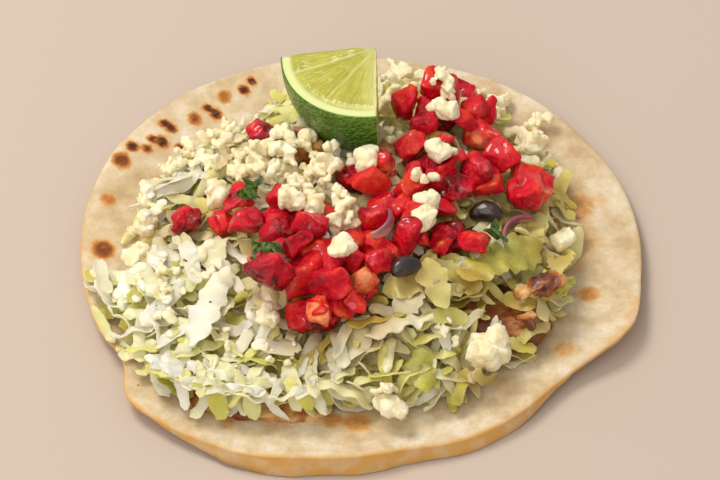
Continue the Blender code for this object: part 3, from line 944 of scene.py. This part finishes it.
lime = Finish("lime", (0.35, (1.0, 1.0, 0.25), 0.003),
              coat_roughness=0.12, specular_ior_level=0.5)
inside = lime.painted("fruit", "Vector")
sides = [lime.node("SeparateXYZ", {}, {0: inside}, axis) for axis in range(3)]
away = lime.node("VectorMath", {"operation": "LENGTH"}, {0: inside}, "Value")
angle = lime.node("Math", {"operation": "ARCTAN2"}, {0: sides[1], 1: sides[0]})
spread = lime.grain(0.35, 2.0, at=inside) - 0.5
segment = lime.node("Math", {"operation": "PINGPONG"}, {
    0: angle + math.tau - FIRST_SKIN + spread * 0.10, 1: SEGMENT / 2})
skin_gap = segment * away
flat_cut = (sides[2] * -1.0).between(0.004, 0.02)
skins = (1.0 - skin_gap.between(0.008, 0.028)) * (1.0 - flat_cut)
level = lime.node("VectorMath", {"operation": "LENGTH"}, {
    0: lime.node("CombineXYZ", {}, {0: sides[0], 1: sides[1]})}, "Value")
down = lime.node("Math", {"operation": "ARCTAN2"}, {0: sides[2] * -1.0, 1: level})
sac_place = lime.node("CombineXYZ", {}, {0: away * 2.2, 1: angle * 7.0, 2: down * 7.0})
sacs = lime.cells(0.5, "DISTANCE_TO_EDGE", sac_place)
sac_tone = lime.grain(0.8, 2.0, at=sac_place)
juice = lime.ramp(sac_tone * 0.8 + sacs * 0.35, [
    (0.25, 160, 160, 52), (0.50, 184, 180, 72), (0.75, 204, 199, 104),
])
cut_edge = (sides[0] * -1.0).between(0.20, 0.02) * (1.0 - flat_cut)
skinned = lime.mix(skins * 0.45 + cut_edge * 0.5, juice, paint(226, 222, 150))
core_edge = 1.0 - away.between(0.04, 0.09)
pithy = lime.mix(
    away.between(0.870, 0.925) + core_edge * 0.5, skinned, paint(216, 222, 156))
# The rind is painted darker green towards its underside: painted shade where it turns from the
# light.
green = lime.ramp(lime.grain(0.007, 3.0) * 0.8 + sides[2] * -0.35, [
    (0.30, 136, 186, 34), (0.50, 98, 158, 18), (0.75, 62, 124, 8),
])
lime.set(
    colour=lime.mix(away.between(0.975, 0.992), pithy, green),
    roughness=0.30 + 0.25 * away.between(0.86, 0.91) * (1.0 - away.between(0.97, 0.99)),
    coat=0.12 * (1.0 - away.between(0.84, 0.90)) + 0.4 * away.between(0.98, 0.99),
    relief=(sacs.between(0.0, 0.14) * (1.0 - away.between(0.84, 0.88)) * 0.6
            + lime.cells(0.0012) * 300.0 * away.between(0.985, 0.999), 0.00012),
)
serve("lime_wedge_cut", lime_mesh, lime, "lime", "lime_wedge")


# ---------------------------------------------------------------- tomato
# Fresh tomato cut in small dice: firm red flesh with a skin on one side, wet with juice,
# paler and orange where the walls of the fruit were cut.

tomato = Finish("tomato", (0.35, (1.0, 0.14, 0.09), 0.0024),
                coat_roughness=0.10, specular_ior_level=0.22)
ripeness = tomato.painted("tint")
flesh_grain = tomato.grain(0.0030, 3.0, 0.6)
wet_patches = tomato.grain(0.0050, 2.0)
ripe = tomato.ramp(ripeness + (flesh_grain - 0.5) * 1.1, [
    (0.02, 104, 2, 16), (0.26, 188, 4, 36), (0.50, 212, 16, 38),
    (0.76, 220, 66, 38), (1.00, 236, 146, 96),
])
fibres = tomato.grain(0.0013, 3.0, 0.7)
ripe = tomato.mix(fibres.between(0.54, 0.74) * 0.34, ripe, paint(240, 112, 88))
tomato.set(
    colour=ripe,
    roughness=0.26 + 0.30 * flesh_grain,
    coat=0.90 * wet_patches.between(0.52, 0.60),
    relief=(flesh_grain + fibres * 0.8, 0.0006),
)


noise.seed_set(2)  # the noise that pulls soft food about is the same in each run


def warped(points, size, amount, seed):
    """The points pulled about by smooth noise, as soft food loses its cut shape."""
    shift = Vector((seed * 2.3, seed * 5.1, seed * 1.7))
    pull = [noise.noise_vector(Vector(point) / size + shift) for point in points]
    return points + np.array(pull) * amount


def served_meshes():
    """Every piece that lies on the plate so far."""
    return [piece.data for piece in bpy.data.objects
            if piece.type == "MESH" and piece.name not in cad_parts]


def settle(ground, place, radius):
    """The height of the hollow or top that a bit of that radius rests on."""
    return float(ground.widest([place], radius)[0])


def lowest(radius, places):
    """The place of several where a bit of that radius comes to lie lowest, and its height."""
    return min((settle(surface, place, radius), place) for place in places)


def from_tomato(place):
    """How far that place is from the middle of the nearest piece of tomato."""
    return min(math.dist(place, tomato[:2]) for tomato in tomato_places)


def run_together(bits, name, voxel, softness, rounds):
    """Bits that touch, joined in one surface with no seams, and smoothed."""
    return baked(bits.mesh(name), [
        ("REMESH", {"mode": "VOXEL", "voxel_size": voxel}),
        ("SMOOTH", {"factor": softness, "iterations": rounds}),
    ])


def ball(detail):
    """The points and faces of an even ball, to be cut into bits."""
    shape = bmesh.new()
    bmesh.ops.create_icosphere(shape, subdivisions=detail, radius=1.0)
    points = np.array([vert.co for vert in shape.verts])
    faces = [[vert.index for vert in face.verts] for face in shape.faces]
    shape.free()
    return points, faces


def cut_flat(points, flats, depths, crispness):
    """A ball's points, cut back to flat faces that meet in softened edges."""
    flats = np.array(flats) / np.linalg.norm(flats, axis=1)[:, None]
    reach = (np.maximum(points @ flats.T, 0.0) / depths) ** crispness
    reach = np.minimum((reach.sum(axis=1) + 1e-9) ** (-1 / crispness), 1.3)
    return points * reach[:, None]


def any_turn(chance):
    """A turn about any axis, as a matrix for rows of points."""
    axis = Vector([chance.gauss(0, 1) for _ in range(3)]).normalized()
    return np.array(Matrix.Rotation(chance.uniform(0.0, math.tau), 3, axis)).T


BALL = ball(4)
SIDES = ((1, 0, 0), (-1, 0, 0), (0, 1, 0), (0, -1, 0), (0, 0, 1), (0, 0, -1))


def die(centre, size, chance):
    """A small cut piece of soft flesh, out of square, and how pale each point of it is."""
    points, faces = BALL
    flats = [[part + chance.gauss(0, 0.22) for part in side] for side in SIDES]
    flats += [[chance.gauss(0, 1) for _ in range(3)] for _ in range(3)]
    depths = [chance.uniform(0.55, 0.95) for _ in range(6)] + [0.80, 0.85, 0.9]
    points = cut_flat(points, flats, depths, 15)
    points = points * [chance.uniform(*span) for span in ((0.9, 1.3), (0.7, 1.0), (0.5, 0.85))]
    pale = clipped(0.5 + points[:, 2] * 0.9)
    seed = chance.uniform(0, 90)
    points = warped(warped(points, 0.7, 0.13, seed), 0.30, 0.05, seed + 7) @ any_turn(chance)
    return points * size / 2 + centre, faces, pale


TOMATO_LOBES = 3
TOMATO_VOXEL = 0.00042
# Pieces cut from the paler walls of the fruit, and how pale.
PALER = {"tomato_03": 0.58, "tomato_04": 0.40, "tomato_05": 0.36, "tomato_09": 0.44,
         "tomato_10": 0.50, "tomato_16": 0.62, "tomato_18": 0.58, "tomato_19": 0.50}
chance = random.Random(5)
tomato_nodes = [name for name in TOPPINGS if name.startswith("tomato")]
for turn, node in enumerate(tomato_nodes):
    low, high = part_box(node)
    middle, sides = (low + high) / 2, high - low
    chunk = Bits()
    for lobe in range(TOMATO_LOBES + 1):
        away = math.tau * (lobe / TOMATO_LOBES + chance.uniform(-0.08, 0.08))
        off = 0.14 if lobe < TOMATO_LOBES else 0.0
        place = middle + Vector((
            math.cos(away) * sides.x * off, math.sin(away) * sides.y * off,
            chance.uniform(-0.06, 0.06) * sides.z))
        size = min(sides.x, sides.y) * chance.uniform(0.86, 1.05)
        points, faces, pale = die((0, 0, 0), size, chance)
        reach = np.abs(points).max(axis=0)
        room = np.array([0.37 * sides.x, 0.37 * sides.y, 0.46 * sides.z])
        chunk.add(points * np.minimum(1.25, room / reach) + np.array(place), faces)
    mesh = run_together(chunk, node, TOMATO_VOXEL, 0.5, 2)
    points = points_of(mesh)
    skin_side = Vector([chance.gauss(0, 1) for _ in range(3)]).normalized()
    pale = (points - points.mean(axis=0)) @ np.array(skin_side) / 0.006
    points = warped(points, 0.0019, 0.0004, turn + 31)
    move_points(mesh, points)
    ripe_share = PALER.get(node, chance.choice((0.16, 0.22, 0.28, 0.34)))
    store(mesh, "tint", ripe_share + 0.34 * uneven(points, 0.005, turn) + 0.26 * pale)
    serve(node + "_cut", mesh, tomato, "tomato", node)

# Where no bits of tomato lie: place and radius.
TOMATO_FREE = metres((
    (-17, 11, 12), (-30, 8, 12), (-6, 12, 6), (-33, -23, 12), (32, -4, 8), (52, 35, 18),
    (4, 30, 8), (11.4, -25.9, 6),
), 3)

# Bits that fill the thick of the heap: place, size, and how pale, where 1 is orange-pink.
TOMATO_FILLS = (
    (-14.6, -28.5, 11.2, 0.28), (-11.6, -6.7, 10, 0.3), (-23, -19.6, 8.4, 0.66),
    (1, -30, 8.6, 0.74), (-11, -41, 7, 0.72), (-3, -22.5, 9.6, 0.34),
    (-17.5, -21.5, 10, 0.24), (-6.5, -34, 9.6, 0.4),
)

surface = Ground(served_meshes(), 0.0)
tomato_bits = Bits()
for x, y, size, ripe_share in metres(TOMATO_FILLS, 3):
    height = settle(surface, (x, y), size * 0.2)
    points, faces, pale = die((x, y, min(height, 0.027) + size * 0.06), size, chance)
    tomato_bits.add(points, faces, ripe_share + 0.26 * pale)
    surface.cover(points)
    tomato_places.append(Vector((x, y, height)))
for node in tomato_nodes:
    low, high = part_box(node)
    middle = (low + high) / 2
    lonely = middle.x < -0.024
    crowded = middle.x < 0.006 and middle.y < -0.006
    for _ in range(0 if lonely else 13 if crowded else 7):
        size = chance.uniform(0.0076, 0.0110) if crowded else chance.uniform(0.0060, 0.0104)
        height, place = lowest(size * 0.3, [
            away_from(middle, chance.uniform(0.0, math.tau), chance.uniform(0.0045, 0.0080))
            for _ in range(6)])
        top = low.z + 0.85 * (high.z - low.z)
        if not (0.006 <= height <= top and place[0] <= 0.0465 and -0.0375 <= place[1] <= 0.044):
            continue
        if any(math.dist(place, (x, y)) < radius for x, y, radius in TOMATO_FREE):
            continue
        points, faces, pale = die((*place, height + size * 0.14), size, chance)
        ripe_share = chance.choice((0.08, 0.14, 0.22, 0.30, 0.40)) + 0.3 * max(
            0.0, PALER.get(node, 0.3) - 0.3)
        tomato_bits.add(points, faces, ripe_share + (0.24 if crowded else 0.38) * pale)
        surface.cover(points)
        tomato_places.append(Vector((*place, height)))
serve("tomato_bits", tomato_bits.mesh("tomato_bits"), tomato, "tomato")


# ---------------------------------------------------------------- beans and onion
# Two cooked black beans with a soft shiny skin, and two curved slices of red onion,
# translucent white with a purple outer skin.

bean = Finish("black_bean", coat_weight=0.5, coat_roughness=0.18)
bean_tone = bean.grain(0.0025, 3.0)
bean.set(
    colour=bean.ramp(bean_tone, [
        (0.35, 24, 14, 14), (0.55, 44, 27, 24), (0.75, 92, 72, 62)]),
    roughness=0.30 + 0.2 * bean_tone,
    relief=(bean_tone, 0.0002),
)
onion = Finish("red_onion", (0.4, (1.0, 0.6, 0.6), 0.002), coat_weight=0.3, coat_roughness=0.15)
onion_tone = onion.grain(0.0030, 2.0)
onion.set(
    colour=onion.ramp(onion.painted("tint") + (onion_tone - 0.5) * 0.5, [
        (0.15, 226, 205, 180), (0.50, 196, 142, 130), (0.85, 138, 66, 84)]),
    roughness=0.25 + 0.2 * onion_tone,
    relief=(onion.grain(0.0008), 0.0001),
)
for node in ("black_bean_01", "black_bean_02"):
    mesh = refined(node, 2)
    roughen(mesh, 0.00012, 0.0014)
    serve(node + "_cooked", mesh, bean, "black_bean", node)
for node in ("red_onion_01", "red_onion_02"):
    mesh = refined(node, 2)
    points = points_of(mesh)
    low, high = points[:, 2].min(), points[:, 2].max()
    store(mesh, "tint", (points[:, 2] - low) / (high - low))
    serve(node + "_slice", mesh, onion, "red_onion", node)


# ---------------------------------------------------------------- cheese
# White cheese crumbled by hand: each lump is a cluster of soft curds with broken faces, and
# loose curds lie where they fell on everything else.

CHEESE_VOXEL = 0.00036
CURD_VOXEL = 0.00038

cheese = Finish("crumbled_cheese", (0.35, (1.0, 0.85, 0.55), 0.0018), specular_ior_level=0.4)
curd_tone = cheese.grain(0.0040, 3.0, 0.6)
cheese.set(
    colour=cheese.ramp(curd_tone, [
        (0.30, 238, 219, 172), (0.50, 247, 234, 196), (0.70, 252, 245, 220)]),
    roughness=0.50 + 0.2 * curd_tone,
    relief=(cheese.grain(0.0011, 3.0, 0.65), 0.00035),
)
SMALL_BALL = ball(3)
BREAKS = 9  # the flat faces that each curd broke along


def curd(centre, size, chance):
    """One broken curd: flat faces at all angles, with soft edges and a mealy grain."""
    points, faces = SMALL_BALL
    flats = [[chance.gauss(0, 1) for _ in range(3)] for _ in range(BREAKS)]
    depths = [chance.uniform(0.58, 0.95) for _ in range(BREAKS)]
    points = cut_flat(points, flats, depths, 11)
    points = points * [chance.uniform(0.8, 1.15) for _ in range(3)]
    points = warped(points, 0.45, 0.10, chance.uniform(0, 90))
    return points * size / 2 + centre, faces


chance = random.Random(9)
cheese_nodes = [name for name in TOPPINGS if name.startswith("cheese")]
for node in cheese_nodes:
    low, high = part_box(node)
    middle, half = (low + high) / 2, (high - low) / 2
    cluster = Bits()
    for _ in range(8 if min(half) < 0.0045 else 22):
        way = Vector([chance.gauss(0, 1) for _ in range(3)]).normalized()
        share = chance.uniform(0.25, 0.60) if min(half) < 0.0045 else chance.uniform(0.3, 0.78)
        place = middle + Vector([w * h * share for w, h in zip(way, half)])
        size = min(0.0040, min(half)) * chance.uniform(0.95, 1.5)
        cluster.add(*curd(place, size, chance))
    mesh = run_together(cluster, node, CHEESE_VOXEL, 0.4, 1)
    roughen(mesh, 0.00022, 0.0010)
    serve(node + "_crumbled", mesh, cheese, "cheese", node)

surface = Ground(served_meshes(), 0.0)
before_curds = Ground([], 0.0)
before_curds.heights = surface.heights.copy()
lime_ground = Ground([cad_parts["lime_wedge"].data], -1.0)
CURD_PILE = 0.0034  # how far loose curds pile up
CURD_REACH = 0.0655  # none rolled further out than this

# Where loose curds fell: place, spread, smallest and largest size, how many.
CURD_FALLS = (
    (-20.6, 19.3, 6, 2.6, 5.2, 12), (-13.8, 5.6, 5, 2.6, 5, 10), (-17, -1.2, 4, 2.6, 4.8, 7),
    (-24, 8, 5, 2.6, 5, 9), (-21, 12, 7, 3, 5.6, 12), (-12, 12, 5, 2.8, 5.2, 8),
    (-30, 13, 6, 2.8, 5.2, 8), (3, 24, 4, 2.4, 4.4, 6), (-29, 27, 6, 2.4, 4.8, 9),
    (-36, 32, 5, 2.2, 4.2, 6), (-33.9, 20.6, 6, 2.4, 5, 9), (-4.7, 1.4, 4, 3, 5.4, 8),
    (-10, 4, 5, 3, 5.4, 8), (-12, -6, 4, 2.6, 4.6, 5), (-3.1, -10, 4, 2.4, 4.4, 7),
    (15, 4, 4, 1.8, 4, 9), (0, 14, 5, 1.8, 4, 10), (22, 40, 4, 2.2, 4.2, 9),
    (8.5, 60, 3.4, 2.2, 4.2, 9), (20, 65, 3, 2, 4, 7), (8.5, 42, 3.4, 2.2, 4.4, 12),
    (8.5, 30, 3, 2.2, 4.4, 10), (9, 50, 3.4, 2.2, 4.2, 10), (10.2, 20.6, 3, 2, 4, 8),
    (30, 60, 3.4, 2.2, 4.2, 9), (37, 52, 3.4, 2.6, 4.6, 6), (44, 43, 3.6, 2.6, 4.6, 6),
    (48, 33, 3, 2, 3.8, 4), (34.8, 40.3, 3.4, 2, 4, 7), (-55.5, 8, 4, 1.8, 3.6, 8),
    (-50, 16, 4, 1.6, 3.2, 6), (-44, 22, 5, 1.8, 3.6, 8), (20, -39, 4, 1.6, 3.4, 5),
    (6.6, -54.1, 4, 1.6, 3.4, 8), (-20, -40, 10, 1.4, 3, 12), (-45, -20, 10, 1.4, 3.2, 14),
)
loose_curds = Bits()
for x, y, spread, small, large, count in metres(CURD_FALLS, 5):
    for _ in range(count):
        size = chance.uniform(small, large)
        height, place = lowest(size * 0.30, [
            (x + chance.gauss(0, spread / 2), y + chance.gauss(0, spread / 2))
            for _ in range(5)])
        pile_top = float(before_curds.at([place])[0]) + CURD_PILE
        if not 0.002 <= height <= pile_top or lime_ground.at([place])[0] > 0.0:
            continue
        if math.hypot(*place) > CURD_REACH or bare(*place) or (
                size < 0.0032 and from_tomato(place) < 0.0050):
            continue
        for _ in range(4):
            aside = [chance.gauss(0, size * 0.26) for _ in range(3)]
            spot = (place[0] + aside[0], place[1] + aside[1],
                    height + size * 0.26 + aside[2] * 0.5)
            points, faces = curd(spot, size * chance.uniform(0.45, 0.80), chance)
            loose_curds.add(points, faces)
            surface.cover(points)
mesh = run_together(loose_curds, "cheese_loose_curds", CURD_VOXEL, 0.4, 1)
roughen(mesh, 0.00016, 0.0009)
serve("cheese_loose_curds", mesh, cheese, "cheese")


# ---------------------------------------------------------------- crema
# Soured cream, thinned and spooned over the lettuce on the left, where it clings in soft
# white folds and runs down between the shreds. It carries flecks of herb and pepper.

CREMA_VOXEL = 0.0005
# Where the spoon passed: middle, length and thickness of the trail, heading in degrees.
CREMA_TRAILS = (
    (-53, 7, 18, 1.5, -70), (-50, -6, 18, 1.6, -110), (-54, -12, 22, 1.8, -50),
    (-41, -11, 18, 1.8, -130), (-48, -26, 20, 1.6, -20), (-30, -16, 16, 1.4, -120),
    (-61, -13, 14, 1.5, -80),
)

crema = Finish("crema", (0.5, (1.0, 0.9, 0.7), 0.003), coat_roughness=0.15)
cream_tone = crema.grain(0.0060, 3.0)
crema.set(
    colour=crema.ramp(cream_tone, [
        (0.35, 240, 228, 184), (0.50, 249, 241, 210), (0.65, 254, 250, 230)]),
    roughness=0.30 + 0.15 * cream_tone,
    coat=0.25 * cream_tone.between(0.4, 0.6),
    relief=(crema.grain(0.0016), 0.0002),
)
chance = random.Random(3)
smears = Bits()
for x, y, length, thickness, heading in metres(CREMA_TRAILS, 4):
    path = wander(chance, x, y, math.radians(heading), length, chance.gauss(0, 30), 120.0)
    for place in path:
        radius = thickness * chance.uniform(0.6, 1.2)
        spot = (place[0] + chance.gauss(0, 0.0010), place[1] + chance.gauss(0, 0.0010))
        height = float(surface.at([spot])[0])
        if height < 0.004 or bare(*spot) or from_tomato(spot) < 0.0070:
            continue
        points, faces = SMALL_BALL
        points = points * [radius, radius, radius * 0.4]
        smears.add(points + [*spot, height], faces)
mesh = run_together(smears, "crema_smears", CREMA_VOXEL, 0.6, 9)
serve("crema_smears", mesh, crema, "cheese")


# ---------------------------------------------------------------- crisp bits
# Crumbs and curls of batter that broke from the fish: thin golden sheets, dark at their
# edges, and small hard knobs.

# Knobs: place, size. Curls: the two ends, width.
BATTER_KNOBS = (
    (43.1, -32.5, 3.2), (6, 13, 4),
)
BATTER_CURLS = (
    (42.5, -25, 52.5, -19.5, 6), (44, -27.5, 52, -23.5, 4), (38.8, -26.2, 46.5, -23.2, 3.4),
    (39.2, -30, 45.2, -31.2, 3), (45, -32, 47.8, -23.5, 3),
)

knobs = Bits()
for x, y, size in metres(BATTER_KNOBS, 3):
    points, faces = curd((x, y, settle(surface, (x, y), size * 0.3) + size * 0.2), size, chance)
    knobs.add(points, faces, chance.uniform(0.35, 0.95))
    surface.cover(points)
mesh = knobs.mesh("batter_knobs")
store(mesh, "stands_out", clipped(0.6 + uneven(points_of(mesh), 0.004)))
roughen(mesh, 0.0004, 0.0018)
serve("batter_knobs", mesh, batter, "fried_fish")
ground = surface
free_top = surface.heights + 0.0060
allowed = free_top > 0.0
ceiling.heights[:] = 1.0
curls = Cut()
for *ends, width in metres(BATTER_CURLS, 5):
    shred_between(curls, ends, width, 0.0009, 0.5, curl=1.2, lean=0.3, across=7,
                  ruffle=0.0006, jagged=0.16, blunt=5)
mesh = curls.serve("batter_curls", batter, "fried_fish").data
store(mesh, "stands_out", clipped(0.6 + 1.6 * uneven(points_of(mesh), 0.0035)))


# ---------------------------------------------------------------- herbs and pepper
# Torn leaves of cilantro, dark green and crumpled, and flecks of chopped leaf and black
# pepper that cling to the crema and the cheese.

# Leaves: place, length, width, heading in degrees.
CILANTRO = (
    (-29.2, -0.4, 5.2, 4.2, 20), (-27, 1, 4.4, 3.6, 110), (-24, -25.6, 6.6, 3.4, -60),
    (-26.2, -21, 5, 3, 60), (-22.2, -29, 4.6, 3.2, 10), (33.8, -10.8, 5.4, 3.6, 30),
    (29.2, -9.2, 4.4, 3, -50),
)

herb = Finish("cilantro", coat_roughness=0.3)
leaf_tone = herb.grain(0.0016, 3.0)
herb.set(
    colour=herb.ramp(leaf_tone, [
        (0.32, 30, 52, 16), (0.50, 60, 92, 26), (0.70, 112, 138, 50)]),
    roughness=0.38 + 0.2 * leaf_tone,
    coat=0.2 * leaf_tone,
    relief=(leaf_tone, 0.0002),
)
leaves = Cut()
for x, y, length, width, heading in metres(CILANTRO, 4):
    for part, way, size in ((0.0, 0, 1.0), (0.35, 48, 0.6), (0.35, -48, 0.6)):
        turn = math.radians(heading) + math.radians(way)
        place = away_from((x, y), turn, part * length)
        shred(leaves, chance, place, max(0.0046, length * size), width * size, 0.00035, 0.5,
              turn, lean=0.3, across=7, crinkle=0.0002, ruffle=0.0004, jagged=0.12, blunt=2)
leaves.serve("cilantro_leaves", herb, "lettuce")

pepper = Finish("pepper")
pepper.set(
    colour=pepper.ramp(pepper.painted("tint"), [
        (0.0, 52, 38, 26), (0.5, 74, 62, 40), (1.0, 84, 104, 40)]),
    roughness=0.55 + 0.1 * pepper.grain(0.0005),
)
# Where flecks fell: place, spread, largest size, how many.
FLECK_FALLS = (
    (-40.5, -11, 0.8, 1.6, 2), (-44.4, -18.5, 1.2, 1.4, 2), (-35.8, -20.5, 1.6, 1.6, 3),
    (-40.8, -26, 1.2, 1.4, 2), (-45, -4, 12, 0.7, 4), (-25, 10, 12, 0.7, 4),
    (-10, -35, 16, 0.7, 5), (25, 25, 18, 0.7, 4), (-50, -30, 12, 0.7, 4),
)
flecks = Bits()
for x, y, spread, largest, count in metres(FLECK_FALLS, 4):
    for _ in range(count):
        place = (x + chance.gauss(0, spread / 2), y + chance.gauss(0, spread / 2))
        size = largest * chance.uniform(0.6, 1.0)
        height = float(surface.at([place])[0])
        if 0.004 < height < 0.036 and from_tomato(place) > 0.0075:
            points, faces = curd((0, 0, 0), size, chance)
            points = points * [1.3, 0.9, 0.4] @ any_turn(chance)
            points = points + [*place, height + size * 0.15]
            flecks.add(points, faces, chance.choice((0.0, 0.5, 1.0)))
serve("pepper_flecks", flecks.mesh("pepper_flecks"), pepper, "lettuce")


# ---------------------------------------------------------------- floor, light and camera
# A pale warm tabletop, one large soft lamp behind on the left, a broad fill in front, and
# the camera at a diner's angle.

floor_mesh = bpy.data.meshes.new("floor")
floor_mesh.from_pydata(
    [(-3, -3, 0), (3, -3, 0), (3, 3, 0), (-3, 3, 0)], [], [(0, 1, 2, 3)])
table = Finish("pale_table")
table.set(colour=paint(197, 181, 169), roughness=0.8)
floor_mesh.materials.append(table.material)
floor = bpy.data.objects.new("floor", floor_mesh)
bpy.context.scene.collection.objects.link(floor)


def lamp(name, azimuth, height, distance, size, power, tint):
    """A square soft lamp that faces the plate from that direction, in degrees."""
    turn, up = math.radians(azimuth), math.radians(height)
    away = Vector((math.cos(turn) * math.cos(up), math.sin(turn) * math.cos(up), math.sin(up)))
    light = bpy.data.lights.new(name, "AREA")
    light.size, light.energy, light.color = size, power, tint
    made = bpy.data.objects.new(name, light)
    made.location = away * distance
    made.rotation_euler = away.to_track_quat("Z", "Y").to_euler()
    bpy.context.scene.collection.objects.link(made)


lamp("key", 144, 62, 1.1, 0.42, 7.0, (1.0, 0.95, 0.86))
lamp("fill", -118, 46, 1.4, 1.2, 7.5, (1.0, 0.97, 0.90))
world = bpy.data.worlds.new("studio")
world.use_nodes = True
world.node_tree.nodes["Background"].inputs["Color"].default_value = (1.0, 0.96, 0.89, 1.0)
world.node_tree.nodes["Background"].inputs["Strength"].default_value = 0.54
bpy.context.scene.world = world
bpy.context.scene.view_settings.view_transform = "Standard"

CAMERA_HEIGHT = math.radians(47.6)
CAMERA_DISTANCE = 1.3
CAMERA_MIDDLE = Vector((-0.0002, -0.0021, 0.0))
lens = bpy.data.cameras.new("camera")
lens.lens = 250.6
lens.sensor_width = 36.0
lens.shift_y = 10 / 225
camera = bpy.data.objects.new("camera", lens)
camera.location = CAMERA_MIDDLE + CAMERA_DISTANCE * Vector(
    (0.0, -math.cos(CAMERA_HEIGHT), math.sin(CAMERA_HEIGHT)))
camera.rotation_euler = (math.pi / 2 - CAMERA_HEIGHT, 0.0, 0.0)
bpy.context.scene.collection.objects.link(camera)
bpy.context.scene.camera = camera
